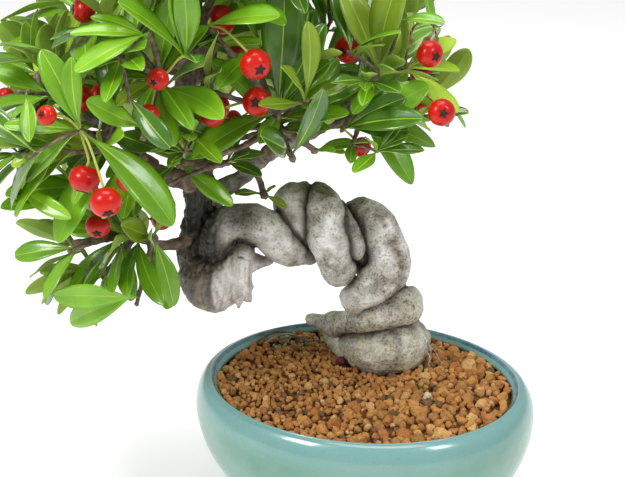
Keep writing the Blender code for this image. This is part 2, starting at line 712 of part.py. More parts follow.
def keep_largest_body(piece):
    """Drop loose scraps and the walls of sealed hollows, which leaves one closed body."""
    shape = bmesh.new()
    shape.from_mesh(piece.data)
    bodies = []
    waiting = set(shape.faces)
    while waiting:
        body = [waiting.pop()]
        for face in body:
            for edge in face.edges:
                for other in edge.link_faces:
                    if other in waiting:
                        waiting.remove(other)
                        body.append(other)
        bodies.append(body)
    largest = max(bodies, key=lambda body: sum(face.calc_area() for face in body))
    loose = [face for body in bodies if body is not largest for face in body]
    bmesh.ops.delete(shape, geom=loose, context="FACES")
    shape.to_mesh(piece.data)
    shape.free()


def make_mass(plant, leaf_green, collection, cutters):
    """Fuse a mass's twigs, leaves and berries into one body."""
    loose = bpy.data.collections.new(plant.name + "_loose")
    cutters.children.link(loose)
    stem = plant.twigs[0]
    mass = twig_body(stem.start, stem.end, stem.thick, stem.thin, collection)
    for twig in plant.twigs[1:]:
        run = (twig.end - twig.start).normalized() * SUNK
        twig_body(twig.start - run, twig.end + run, twig.thick, twig.thin, loose)
    for leaf in plant.leaves:
        leaf_body(leaf, loose)
    for berry in plant.berries:
        ball("berry", *berry.middle, BERRY_RADIUS, loose, segments=5, rings=4)
        twig_body(berry.stalk, berry.middle, STALK_RADIUS, STALK_RADIUS, loose)
    fuse = mass.modifiers.new("Fused", "BOOLEAN")
    fuse.operation = "UNION"
    fuse.operand_type = "COLLECTION"
    fuse.collection = loose
    fuse.solver = "EXACT"
    mass = baked(mass, plant.name, collection)
    for piece in list(loose.objects):
        bpy.data.objects.remove(piece, do_unlink=True)
    bpy.data.collections.remove(loose)
    keep_largest_body(mass)
    mass.data.materials.clear()
    mass.data.materials.append(leaf_green)


def main():
    clear_scene()
    collection = new_collection("firethorn_bonsai")
    cutters = new_collection("cutters")
    make_pot(collection)
    make_soil(collection)
    trunk = make_trunk(collection)
    make_boughs(trunk, collection, cutters)
    leaf_green = surface("leaf_green", (0.12, 0.30, 0.05), 0.4)
    for plant in grow_crown().values():
        make_mass(plant, leaf_green, collection, cutters)


main()
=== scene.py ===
"""The looks of a small firethorn bonsai in a glazed oval pot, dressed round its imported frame.

Metres, +Z up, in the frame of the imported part. The tree's limbs, twigs and leaves are given in the
tree's own frame in millimetres, where X runs to the right across its front and Y to its back. They
grow by the rule that grew the part's solids, and then go on to finer twigs, leaves and berries.
"""

import json
import math
import random
from collections import namedtuple

import bmesh
import bpy
import numpy as np
from mathutils import Matrix, Vector, noise
from mathutils.bvhtree import BVHTree

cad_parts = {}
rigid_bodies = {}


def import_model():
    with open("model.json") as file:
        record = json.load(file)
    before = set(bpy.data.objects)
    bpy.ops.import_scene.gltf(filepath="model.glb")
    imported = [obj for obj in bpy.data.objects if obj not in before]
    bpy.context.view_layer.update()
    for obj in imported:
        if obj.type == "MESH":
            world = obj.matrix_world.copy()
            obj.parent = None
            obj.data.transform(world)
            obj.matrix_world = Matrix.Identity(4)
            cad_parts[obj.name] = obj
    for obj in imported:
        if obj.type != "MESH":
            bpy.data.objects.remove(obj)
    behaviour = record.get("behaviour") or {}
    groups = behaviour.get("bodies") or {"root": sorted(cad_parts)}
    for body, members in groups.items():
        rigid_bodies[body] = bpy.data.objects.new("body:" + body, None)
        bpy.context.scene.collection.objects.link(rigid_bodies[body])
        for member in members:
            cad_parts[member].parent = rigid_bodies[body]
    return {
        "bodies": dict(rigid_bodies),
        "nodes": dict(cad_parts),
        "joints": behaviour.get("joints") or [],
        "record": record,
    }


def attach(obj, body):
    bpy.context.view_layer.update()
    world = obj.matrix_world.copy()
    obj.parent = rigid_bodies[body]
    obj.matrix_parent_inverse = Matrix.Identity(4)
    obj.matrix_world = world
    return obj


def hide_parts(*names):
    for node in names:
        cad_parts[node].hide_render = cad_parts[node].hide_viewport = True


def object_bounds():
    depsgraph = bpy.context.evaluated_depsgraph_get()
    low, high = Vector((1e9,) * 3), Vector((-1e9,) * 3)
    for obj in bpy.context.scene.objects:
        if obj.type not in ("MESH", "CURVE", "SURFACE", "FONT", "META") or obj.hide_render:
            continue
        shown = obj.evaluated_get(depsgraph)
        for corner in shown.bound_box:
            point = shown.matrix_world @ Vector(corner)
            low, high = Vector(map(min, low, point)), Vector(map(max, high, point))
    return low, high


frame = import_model()
cad_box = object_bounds()

MM = 0.001
CLEARANCE = 0.3

# The pot
POT_LONG = 95.0
POT_SHORT = 80.5
POT_HEIGHT = 38.0
POT_WALL = 3.2
POT_FLOOR = 4.0
RIM_LONG = 87.2
BELLY_DROP = 8.0
FOOT_LONG = 52.0
FOOT_HEIGHT = 2.6
BELLY_POWER = 1.8
POT_STEPS = 180
SOIL_TOP = 38.5
SOIL_FALL = 3.0
SOIL_FLAT = 0.4
SOIL_LUMP = 1.8
LUMP_WIDE = 4.0
FRONT_TURN = math.radians(18.84)
# From the tree's frame, and from the pot's, both in millimetres, to the part's in metres
TREE_FRAME = Matrix.Rotation(FRONT_TURN, 4, "Z") @ Matrix.Scale(MM, 4)
POT_FRAME = Matrix.Scale(MM, 4)
PRESSED = POT_SHORT / POT_LONG

# The trunk, as coils that have grown into each other: each is a route of (x, y, z, radius)
TRUNK_VOXEL = 0.38
TRUNK_COILS = {
    "root_bulge": [(-2.5, 15, 41, 5.2), (1, 11, 42.6, 7.5), (6, 9, 43.6, 8.8), (10.6, 12, 42.5, 7.7),
                   (12, 17, 42, 6.8), (9, 21, 42, 6.3)],
    "root_flank": [(-8.5, 18, 42.5, 3), (-3, 13, 40.5, 4.5)],
    "lower_coil": [(-14.7, 24, 44.8, 1.7), (-7.8, 17, 46.5, 3.8), (1.7, 7, 53.4, 4.7), (6.7, 6, 56.1, 5.2),
                   (10.6, 10, 55.6, 5.8), (10.5, 19, 51.5, 5.4)],
    "column": [(-2.8, 4, 60.5, 4.1), (3.3, 3, 65.7, 5.5), (6.6, 5, 69.4, 6.1), (4.7, 8, 76.2, 5.8),
               (1, 11, 82.6, 4.7), (-3.2, 15, 81.2, 3.4)],
    "small_lobe": [(-5.9, 7, 84, 2.4), (-4.3, 4.5, 80.5, 3), (-2.8, 4, 75, 3)],
    "long_lobe": [(-13, 10, 88, 4.4), (-11.2, 6, 86.4, 5.4), (-10.2, 3, 80.5, 5.6), (-7.4, 4, 69.9, 5.3)],
    "over_coil": [(-16.2, 10, 88.4, 4), (-19.2, 9, 86.8, 5.8), (-17.8, 6.5, 82, 4.8), (-15.4, 6, 76.5, 2.6)],
    "back_coil": [(-20, 12, 83, 4.5), (-9, 13, 81, 5.2), (1, 11, 71, 6), (6, 12, 60, 6), (8, 15, 48, 8)],
    "side_coil": [(-42.4, 5, 71.5, 4.2), (-40.4, 3, 77.3, 4.8), (-36.2, 2, 83.6, 5.2), (-28.7, 2.5, 83, 5.4),
                  (-21.5, 4, 76, 5.2), (-15.5, 11, 72, 4)],
    "knuckle": [(-46.4, 8, 72.2, 5), (-41.3, 5, 66.6, 9.5)],
    "dead_lobe": [(-38, 6, 77, 3.5), (-33.5, 3, 77.6, 3.6), (-35.3, 2, 71, 5.2), (-35.5, 2, 65.5, 4.6)],
    "dead_stub": [(-34, 1, 65, 3), (-34.1, 0, 62.4, 1.5), (-34.4, -1, 60.3, 0.9)],
    "short_stub": [(-33, 0, 66, 2.6), (-31.8, -1, 62.7, 1.1)],
    "dead_spike": [(-31.5, 5, 71, 2.8), (-25.7, 7, 70.3, 0.8)],
    "upright": [(-46.3, 7, 72.2, 5.5), (-43.8, 10, 83.5, 5.2), (-45.4, 9, 94, 4.4), (-46.5, 8, 101, 3.7)],
}
# Coils that run smoothly into each other, with no crease between them
GROWN_AS_ONE = [{"knuckle", "upright"}, {"knuckle", "dead_lobe", "dead_stub", "short_stub", "dead_spike"},
                {"back_coil", "root_bulge", "root_flank"}, {"root_flank", "lower_coil"}]

# The boughs: the limb that carries each, its route, and its radius at each end
Bough = namedtuple("Bough", "carrier route thick thin")
BOUGHS = {
    "leader": Bough("trunk", [(-46.5, 8, 100), (-48, 4, 112), (-48, 0, 122), (-46, -3, 131)], 3.2, 1.9),
    "bough_left": Bough("trunk", [(-46, 7, 94), (-55, 2, 98), (-60, -5, 106), (-63, -11, 112)], 2.6, 1.4),
    "bough_right": Bough("trunk", [(-43, 9, 88), (-33, 10, 94), (-27, 9, 100), (-16, 6, 107)], 2.4, 1.4),
    "bough_back": Bough("trunk", [(-45, 9, 92), (-45, 20, 98), (-43, 31, 111)], 2.2, 1.3),
    "bough_low": Bough("trunk", [(-47, 6, 77), (-54, 0, 78), (-58, -4, 81)], 1.6, 1.1),
    "bough_front": Bough("bough_right", [(-26, 9, 101), (-24, 2, 106), (-24, -5, 112)], 1.6, 1.2),
    "bough_back_right": Bough("bough_right", [(-29, 9.5, 98), (-22, 17, 103), (-14, 24, 111)], 1.6, 1.2),
    "bough_back_left": Bough("bough_left", [(-56, 1, 100), (-64, 8, 104), (-71, 14, 110)], 1.6, 1.2),
    "bough_front_left": Bough("leader", [(-48, 3, 115), (-50, -6, 120), (-52, -14, 126)], 1.7, 1.2),
    "bough_upper_back": Bough("leader", [(-48, 1, 119), (-44, 10, 128), (-40, 17, 137)], 1.7, 1.2),
    "bough_fork": Bough("trunk", [(-45, 8, 98), (-44.5, 1.5, 99.5), (-47, -4, 102.5)], 1.3, 1.0),
    "bough_inner": Bough("bough_right", [(-30, 9.5, 97.5), (-29, 7.8, 95)], 1.1, 0.9),
}

# The foliage masses: the bough whose tip carries each, the middle and half sizes of the space that
# its leaves keep to, how many sprays fill it first, and how many finer ones follow
Mass = namedtuple("Mass", "bough middle half sprays fine")
MASSES = {
    "foliage_right": Mass("bough_right", (4, -2, 124), (23, 24, 34), 6, 7),
    "foliage_front": Mass("bough_front", (-30, -13, 123), (26, 24, 31), 9, 8),
    "foliage_left": Mass("bough_left", (-73, -24, 118), (27, 27, 31), 9, 8),
    "foliage_low_left": Mass("bough_low", (-68, -9, 82), (24, 22, 26), 4, 3),
    "foliage_front_left": Mass("bough_front_left", (-54, -26, 138), (24, 25, 26), 5, 7),
    "foliage_top": Mass("leader", (-44, -5, 162), (38, 34, 25), 11, 14),
    "foliage_top_back": Mass("bough_upper_back", (-32, 24, 156), (36, 28, 27), 9, 11),
    "foliage_back": Mass("bough_back", (-44, 40, 120), (32, 24, 31), 8, 9),
    "foliage_back_right": Mass("bough_back_right", (-2, 28, 124), (28, 27, 30), 8, 9),
    "foliage_back_left": Mass("bough_back_left", (-78, 20, 120), (24, 28, 31), 8, 9),
    "foliage_fork": Mass("bough_fork", (-48, -10, 105), (20, 16, 16), 1, 2),
    "foliage_inner": Mass("bough_inner", (-26, 4, 92), (16, 14, 12), 0, 0),
}

# The sprays that show at the front, each a place where leaves start and the tips that they reach
FRONT_SPRAYS = {
    "foliage_right": {
        (3, -6, 128): [(8, -14, 157), (-7, -2, 151), (-17, -16, 123), (-4, -16, 121)],
        (10, -4, 129): [(23, -12, 120), (24, 1, 127), (23, 6, 134)],
        (-2, 0, 116): [(12, -6, 98), (18, -2, 107)],
    },
    "foliage_front": {
        (-23, -14, 121): [(-44, -26, 113), (-21, -10, 155), (-11, -14, 144)],
        (-40, -22, 146): [(-22, -30, 151)],
    },
    "foliage_left": {(-70, -42, 126): [(-48, -46, 103), (-84, -40, 112)]},
    "foliage_front_left": {
        (-52, -26, 134): [(-58, -32, 124)],
        (-53, -38, 149): [(-70, -46, 142)],
    },
    "foliage_low_left": {
        (-65, -8, 84): [(-79, -12, 88), (-78, -12, 70), (-62, -14, 68), (-60, 2, 92)],
        (-56, -9, 84): [(-51, -13, 66)],
    },
    "foliage_fork": {(-50, -9, 106): [(-35, -11, 94), (-60, -14, 98), (-47, -20, 116)]},
    "foliage_inner": {(-27, 5, 92): [(-21, 2, 88), (-35, 2, 92), (-24, 3, 94)]},
}

# The berries that show at the front, on the mass that bears them
FRONT_BERRIES = {
    "foliage_front": [(-28, -31, 139), (-39, -26, 125), (-28, -24, 127), (-21, -8, 134), (-37, -10, 144)],
    "foliage_left": [(-69, -46, 115), (-63, -56, 113), (-71, -36, 132)],
    "foliage_right": [(14, 4, 126), (15, 0, 118), (-1, 14, 101)],
}

# The growing rule
CROWN_MIDDLE = (-38, 4, 118)
SPRAY_ROOM = 10.0
SPRAY_REACH = 0.72
SEEDED_REACH = 1.05
FRONT_REACH = 1.35
LEAVES_PER_SPRAY = 6
LEAF_LONG = (18.0, 28.0)
LEAF_SLIM = (0.26, 0.36)
FRONT_SLIM = 0.32
FRONT_FACE = (0, -0.55, 1)
ROOT_STEP = 0.1
LEAF_TILT = (35.0, 82.0)
LEAF_ARCH = 0.22
LEAF_FOLD = 0.22
SHOOT_LONG = 3.5
GOLDEN_ANGLE = math.radians(137.5)
TWIG_THIN = 0.5
STEM_LONG = 5.0
DETOUR = 0.35
LIMB_GAP = 1.0
LEAF_GAP = 0.45
BERRY_RADIUS = 3.9
BALL_SWELL = 1.26
BERRY_SHARE = 0.22
STALK_RADIUS = 0.35
STALK_LONG = (9.0, 14.0)
STALK_RISE = (-0.9, 0.7)
STALK_CLEAR = (0.2, 0.9)

# Seeded leaves stay above the crown's underside, over which the trunk's arch shows
SKIRT_SIDE = -50.0
SKIRT_MIDDLE = -20.0
SKIRT_LOW = 101.0
SKIRT_HIGH = 108.0
SKIRT_SLOPE = 0.42

# The finer growth, which keeps clear of the sides of the part's own box
FINE_ROOM = 7.5
FINE_REACH = 0.84
FINE_GAP = 0.25
FINE_TWIG = 0.4
FINE_LEAVES = 6
FINE_LONG = (15.0, 26.0)
FINE_BERRIES = 0.1
BOX_MARGIN = 0.5
BUD_LEAVES = 6
BUD_TILT = (15.0, 75.0)
BUD_LONG = (7.0, 13.0)
BUD_HANG = -0.3
BUD_FACE = (0, -0.4, 0.9)
BUD_SLIM = 0.36
BUD_TURN = 0.6
BUD_TRIES = 4
SPRAY_TRIES = 5
SPRAY_TURN = 0.45
BERRY_TRIES = 8
NODE_TRIES = 600
FINE_TRIES = 900
TWIG_THICK = 1.05
TWIG_TAPER = 0.022

# Where each kind of random draw starts
SEEDS = {"crown": 7, "finer": 101, "leaves": 5, "twigs": 11, "boughs": 21, "berries": 31, "grains": 41,
         "finds": 61}

# Where a leaf is tested for room, as shares along and across it
LEAF_MARKS = ((0.35, 0), (0.6, -1), (0.6, 1), (0.8, 0), (1, 0))

Leaf = namedtuple("Leaf", "base tip face width")
Twig = namedtuple("Twig", "start end thick thin")
Berry = namedtuple("Berry", "middle stalk")


def outline(along):
    """A leaf's half width at a share of its length, widest past the middle and blunt at its tip."""
    return math.sin(math.pi * min(max((along - 0.06) / 0.94, 0), 1) ** 1.2) ** 0.75 + 0.06


def leaf_point(leaf, along, across, lift):
    """A point of a leaf, which arches from base to tip and folds up along its midrib."""
    run = leaf.tip - leaf.base
    side = run.cross(leaf.face).normalized()
    half = leaf.width / 2 * outline(along)
    rise = LEAF_ARCH * run.length * along * (1 - along) + LEAF_FOLD * half * abs(across) + lift
    return leaf.base + run * along + side * (half * across) + leaf.face * rise


def leaf_shell(leaf, swell):
    """A few points and faces round a leaf's blade, swollen for the tests of room."""
    points = [leaf_point(leaf, 0.16, 0, 0)]
    for along in (0.4, 0.65, 0.88):
        reach = 1 + swell / (leaf.width / 2 * outline(along))
        points += [leaf_point(leaf, along, -reach, 0), leaf_point(leaf, along, 0, swell),
                   leaf_point(leaf, along, reach, 0), leaf_point(leaf, along, 0, -swell)]
    points.append(leaf.tip + (leaf.tip - leaf.base).normalized() * swell)
    faces = [(0, 1 + i, 1 + (i + 1) % 4) for i in range(4)]
    for ring in (1, 5):
        faces += [(ring + i, ring + 4 + i, ring + 4 + (i + 1) % 4, ring + (i + 1) % 4) for i in range(4)]
    faces += [(9 + i, 13, 9 + (i + 1) % 4) for i in range(4)]
    return points, faces


def twig_shell(start, end, radius):
    """A three-sided bar round a twig, for the tests of room."""
    turn = (end - start).to_track_quat("Z", "Y")
    corners = [turn @ Vector((radius * math.cos(a), radius * math.sin(a), 0)) for a in (0, 2.1, 4.2)]
    points = [start + corner for corner in corners] + [end + corner for corner in corners]
    return points, [(0, 1, 4, 3), (1, 2, 5, 4), (2, 0, 3, 5), (0, 2, 1), (3, 4, 5)]


def ball(subdivisions, radius):
    """A ball of triangles, as points and faces."""
    shape = bmesh.new()
    bmesh.ops.create_icosphere(shape, subdivisions=subdivisions, radius=radius)
    points = [vert.co.copy() for vert in shape.verts]
    faces = [tuple(vert.index for vert in face.verts) for face in shape.faces]
    shape.free()
    return points, faces


def ball_shell(middle, radius):
    """A twenty-sided ball round a berry, for the tests of room."""
    points, faces = ball(1, radius * BALL_SWELL)
    return [middle + point for point in points], faces


def any_way(draw):
    """A direction drawn at random."""
    return Vector((draw.gauss(0, 1), draw.gauss(0, 1), draw.gauss(0, 1))).normalized()


def leaning(way, turn, tilt):
    """A direction tilted away from another by an angle, and turned about it."""
    flat = math.sin(tilt)
    lean = Vector((flat * math.cos(turn), flat * math.sin(turn), math.cos(tilt)))
    return way.to_track_quat("Z", "Y") @ lean


def extent(points):
    """The middle of some points, and how far the farthest lies from it."""
    middle = sum(points, Vector()) / len(points)
    return middle, max((point - middle).length for point in points)


class Room:
    """The space that the limbs, twigs, leaves and berries placed so far take up."""

    def __init__(self, limbs):
        self.limbs = limbs
        self.taken = []

    def limb_gap(self, *points):
        """How far the nearest of some points lies from the nearest limb's bark."""
        gaps = []
        for point in points:
            for start, end, thick, thin in self.limbs:
                run = end - start
                share = min(max((point - start).dot(run) / run.length_squared, 0), 1)
                gaps.append((point - start - run * share).length - thick - (thin - thick) * share)
        return min(gaps)

    def free(self, shell, owner):
        """Whether a shell meets nothing placed so far, apart from what has the same owner."""
        middle, reach = extent(shell[0])
        tree = None
        for other_middle, other_reach, other_tree, other_owner in self.taken:
            if owner is not None and other_owner == owner:
                continue
            if (other_middle - middle).length > other_reach + reach:
                continue
            tree = tree or BVHTree.FromPolygons(*shell)
            if tree.overlap(other_tree):
                return False
        return True

    def take(self, shell, owner):
        self.taken.append((*extent(shell[0]), BVHTree.FromPolygons(*shell), owner))

    def claim(self, *claims):
        """Take the room of some (shell, owner) if all of it is free. False where it isn't."""
        if not all(self.free(*claim) for claim in claims):
            return False
        for claim in claims:
            self.take(*claim)
        return True


class Plant:
    """One mass as it grows: the nodes where its twigs fork, and what they carry."""

    def __init__(self, name, mass, bough, room):
        self.name = name
        self.mass = mass
        self.room = room
        self.twigs, self.leaves, self.berries = [], [], []
        self.fine = False
        self.gap = LEAF_GAP
        last, tip = Vector(bough.route[-2]), Vector(bough.route[-1])
        way = (tip - last).normalized()
        start = tip + way * CLEARANCE
        self.nodes = [(start + way * STEM_LONG, 0)]
        self.twigs.append(Twig(start, start + way * STEM_LONG, bough.thin, bough.thin * 0.9))

    def inside(self, point, share=1.0):
        offset = point - Vector(self.mass.middle)
        return sum((offset[i] / self.mass.half[i]) ** 2 for i in range(3)) < share * share

    def branch(self, place, thin=TWIG_THIN, nearest=4):
        """Grow a twig to a place from the node that reaches it best, and give the node it ends at."""
        if (self.nodes[0][0] - place).length < STEM_LONG / 2:
            return self.nodes[0][0]
        ways = sorted(self.nodes, key=lambda node: (node[0] - place).length + DETOUR * node[1])
        for node, path in ways[:nearest]:
            if self.room.limb_gap(*(node.lerp(place, share) for share in (0.25, 0.5, 0.75, 1))) < LIMB_GAP:
                continue
            if self.room.claim((twig_shell(node.lerp(place, 0.12), place, thin + self.gap), self.name)):
                long = path + (place - node).length
                self.twigs.append(Twig(node, place, twig_radius(path, thin), twig_radius(long, thin)))
                self.nodes.append((place, long))
                return place
        return None

    def add_leaf(self, base, tip, face, width, seeded=False):
        """Add a leaf if it has room. False where it has none."""
        run = tip - base
        face = (face - run * (face.dot(run) / run.length_squared)).normalized()
        leaf = Leaf(base, tip, face, width)
        marks = [leaf_point(leaf, along, across, 0) for along, across in LEAF_MARKS]
        reach = SEEDED_REACH if seeded else FRONT_REACH
        fits = (self.room.limb_gap(*marks) >= LIMB_GAP and all(self.inside(mark, reach) for mark in marks)
                and (not seeded or all(above_skirt(mark) for mark in marks))
                and (not self.fine or all(in_box(mark, BOX_MARGIN) for mark in marks))
                and self.room.claim((leaf_shell(leaf, self.gap), None)))
        if fits:
            self.leaves.append(leaf)
        return fits

    def add_berry(self, node, middle):
        """Hang a berry on its stalk from a node, if it has room. False where it has none."""
        start, end = (node.lerp(middle, share) for share in STALK_CLEAR)
        fits = (self.room.limb_gap(middle) >= BERRY_RADIUS + LIMB_GAP
                and (not self.fine or in_box(middle, BERRY_RADIUS + BOX_MARGIN))
                and self.room.claim((ball_shell(middle, BERRY_RADIUS + self.gap), None),
                                    (twig_shell(start, end, STALK_RADIUS + self.gap), self.name)))
        if fits:
            self.berries.append(Berry(middle, node))
        return fits

    def hang_berry(self, node, draw):
        """Hang a berry at a seeded place round a node."""
        for _ in range(BERRY_TRIES):
            turn = draw.uniform(0, 2 * math.pi)
            way = Vector((math.cos(turn), math.sin(turn), draw.uniform(*STALK_RISE))).normalized()
            middle = node + way * draw.uniform(*STALK_LONG)
            if self.inside(middle) and above_skirt(middle) and self.add_berry(node, middle):
                return

    def open_spray(self, twig, way, draw, leaves=LEAVES_PER_SPRAY, lengths=LEAF_LONG):
        """Leaves in a spiral up the end of a twig, each turned by the golden angle from the last."""
        first = draw.uniform(0, 2 * math.pi)
        axis = (twig.end - twig.start).normalized()
        for number in range(leaves):
            base = twig.end - axis * SHOOT_LONG * (1 - number / leaves)
            for attempt in range(SPRAY_TRIES):
                tilt = math.radians(draw.uniform(*LEAF_TILT))
                lean = leaning(way, first + GOLDEN_ANGLE * number + attempt * SPRAY_TURN, tilt)
                long = draw.uniform(*lengths)
                face = way + Vector((0, 0, 0.8)) - lean * 0.2
                width = long * draw.uniform(*LEAF_SLIM)
                if self.add_leaf(base, base + lean * long, face, width, seeded=True):
                    break

    def bud(self, twig, draw):
        """A few small leaves at the end of a twig that stayed bare."""
        way = (twig.end - twig.start).normalized()
        for number in range(BUD_LEAVES):
            for attempt in range(BUD_TRIES):
                tilt = math.radians(draw.uniform(*BUD_TILT))
                lean = leaning(way, GOLDEN_ANGLE * number + attempt * BUD_TURN, tilt)
                if lean.z < BUD_HANG:
                    continue
                long = draw.uniform(*BUD_LONG)
                face = Vector(BUD_FACE) - lean * 0.2
                if self.add_leaf(twig.end, twig.end + lean * long, face, long * BUD_SLIM):
                    break


def above_skirt(point):
    """Whether a point is above the crown's underside, which is open to the left."""
    low = SKIRT_LOW if point.x < SKIRT_MIDDLE else SKIRT_HIGH
    return point.x < SKIRT_SIDE or point.z + SKIRT_SLOPE * point.y > low


def in_box(point, margin):
    """Whether a point of the tree lies inside the part's own box, clear of its sides."""
    return all(low + margin * MM < value < high - margin * MM
               for low, value, high in zip(cad_box[0], TREE_FRAME @ point, cad_box[1]))


def twig_radius(path, thin=TWIG_THIN):
    """A twig's radius at a distance along the twigs from its bough's tip."""
    return max(TWIG_THICK - TWIG_TAPER * path, thin)


def limb_capsules():
    """The trunk and boughs as straight lengths of (start, end, thick, thin), for the tests of room."""
    capsules = []
    for route in TRUNK_COILS.values():
        for one, two in zip(route, route[1:]):
            capsules.append((Vector(one[:3]), Vector(two[:3]), one[3], two[3]))
    for bough in BOUGHS.values():
        steps = len(bough.route) - 1
        for i in range(steps):
            radii = [bough.thick + (bough.thin - bough.thick) * share / steps for share in (i, i + 1)]
            capsules.append((Vector(bough.route[i]), Vector(bough.route[i + 1]), *radii))
    return capsules


def spray_way(twig):
    """The way that a spray faces at the end of its twig: along the twig, out of the crown and up."""
    outward = (twig.end - Vector(CROWN_MIDDLE)).normalized()
    return ((twig.end - twig.start).normalized() + outward + Vector((0, 0, 0.4))).normalized()


def seed_nodes(plants, plant, draw, wanted, room_apart, reach_share, tries, **how):
    """Grow twigs to seeded places through a mass's space, each clear of the nodes round it."""
    placed = 0
    for _ in range(tries):
        if placed == wanted:
            break
        way = any_way(draw)
        reach = reach_share * draw.uniform(0.35, 1) ** 0.5
        node = Vector([plant.mass.middle[i] + way[i] * reach * plant.mass.half[i] for i in range(3)])
        others = [other for near in plants.values() for other, _ in near.nodes]
        if min((other - node).length for other in others) < room_apart:
            continue
        if plant.room.limb_gap(node) > room_apart / 2 and plant.branch(node, **how):
            placed += 1


def near_nodes(plant, place):
    """A mass's nodes that a berry's stalk may reach a place from, nearest first."""
    nodes = sorted((node for node, _ in plant.nodes), key=lambda node: (node - place).length)
    return [node for node in nodes[:3] if (node - place).length > BERRY_RADIUS]


def grow_crown():
    """Grow every mass as the part's solids do: first what shows at the front, then seeded sprays."""
    room = Room(limb_capsules())
    plants = {name: Plant(name, mass, BOUGHS[mass.bough], room) for name, mass in MASSES.items()}
    draws = {name: random.Random(number + SEEDS["crown"]) for number, name in enumerate(MASSES)}
    for plant in plants.values():
        stem = plant.twigs[0]
        room.take(twig_shell(stem.start, stem.end, stem.thick + LEAF_GAP), plant.name)
    front = []
    for name, sprays in FRONT_SPRAYS.items():
        for place, tips in sprays.items():
            node = plants[name].branch(Vector(place))
            if node is not None:
                front.append((plants[name], node, tips))
    for name, places in FRONT_BERRIES.items():
        for place in places:
            for node in near_nodes(plants[name], Vector(place)):
                if plants[name].add_berry(node, Vector(place)):
                    break
    for plant, node, tips in front:
        for number, tip in enumerate(tips):
            way = Vector(tip) - node
            base = node + way.normalized() * ROOT_STEP * number
            plant.add_leaf(base, Vector(tip), Vector(FRONT_FACE), FRONT_SLIM * way.length)
    for name, plant in plants.items():
        seed_nodes(plants, plant, draws[name], plant.mass.sprays, SPRAY_ROOM, SPRAY_REACH, NODE_TRIES)
    for name, plant in plants.items():
        draw = draws[name]
        for twig in plant.twigs:
            if draw.random() < BERRY_SHARE:
                plant.hang_berry(twig.end, draw)
            plant.open_spray(twig, spray_way(twig), draw)
    grow_finer(plants)
    return plants


def grow_finer(plants):
    """Finer twigs with smaller leaves in the room that is left."""
    draws = {name: random.Random(number + SEEDS["finer"]) for number, name in enumerate(MASSES)}
    firsts = {name: len(plant.twigs) for name, plant in plants.items()}
    for name, plant in plants.items():
        plant.fine, plant.gap = True, FINE_GAP
        seed_nodes(plants, plant, draws[name], plant.mass.fine, FINE_ROOM, FINE_REACH, FINE_TRIES,
                   thin=FINE_TWIG, nearest=6)
    for name, plant in plants.items():
        draw = draws[name]
        for number, twig in enumerate(plant.twigs):
            if number >= firsts[name] and draw.random() < FINE_BERRIES:
                plant.hang_berry(twig.end, draw)
            plant.open_spray(twig, spray_way(twig), draw, FINE_LEAVES, FINE_LONG)
    for name, plant in plants.items():
        for twig in plant.twigs:
            if not any((leaf.base - twig.end).length < SHOOT_LONG + 1 for leaf in plant.leaves):
                plant.bud(twig, draws[name])


def rise(values, start, span):
    """From 0 at a start to 1 a span further on, for a number or an array. A span below 0 falls."""
    return np.clip((values - start) / span, 0, 1)


def noise_at(points, scale):
    """A smooth noise at rows of points, which are scaled first, by a number or one an axis."""
    return np.array([noise.noise(Vector(point)) for point in (points * np.array(scale)).tolist()])


def link(name, data):
    made = bpy.data.objects.new(name, data)
    bpy.context.scene.collection.objects.link(made)
    return made


def dress(name, mesh, materials, slot, *nodes):
    """A smooth piece that rides on the part's one body, in place of the CAD nodes it stands for."""
    for material in materials:
        mesh.materials.append(material)
    mesh.polygons.foreach_set("use_smooth", np.ones(len(mesh.polygons), bool))
    piece = link(name, mesh)
    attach(piece, "root")
    if nodes:
        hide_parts(*nodes)
    return piece


def face_outwards(mesh):
    shape = bmesh.new()
    shape.from_mesh(mesh)
    bmesh.ops.recalc_face_normals(shape, faces=shape.faces)
    shape.to_mesh(mesh)
    shape.free()


class Shape:
    """The points and faces of many small things, which make one piece."""

    def __init__(self):
        self.points, self.faces, self.slots = [], [], []
        self.count = 0

    def add(self, points, faces, slots):
        """points is an array of rows, faces tuples of row numbers, slots one number or one a face."""
        self.points.append(np.asarray(points, float))
        self.faces += [tuple(i + self.count for i in face) for face in faces]
        self.slots += [slots] * len(faces) if isinstance(slots, int) else list(slots)
        self.count += len(points)

    def piece(self, name, materials, frame, slot, *nodes, sharp=None):
        """Make the piece. Points that would pass the CAD box are held at its sides."""
        turn = np.array(frame, float)
        points = np.concatenate(self.points) @ turn[:3, :3].T + turn[:3, 3]
        mesh = bpy.data.meshes.new(name)
        mesh.from_pydata(np.clip(points, *(np.array(corner) for corner in cad_box)).tolist(), [], self.faces)
        made = dress(name, mesh, materials, slot, *nodes)
        mesh.polygons.foreach_set("material_index", np.array(self.slots, np.int32))
        mesh.update()
        if sharp:
            mesh.set_sharp_from_angle(angle=math.radians(sharp))
        return made


def path_lengths(path):
    """How far along a path each of its points lies."""
    return np.concatenate([[0], np.cumsum(np.linalg.norm(np.diff(path, axis=0), axis=1))])


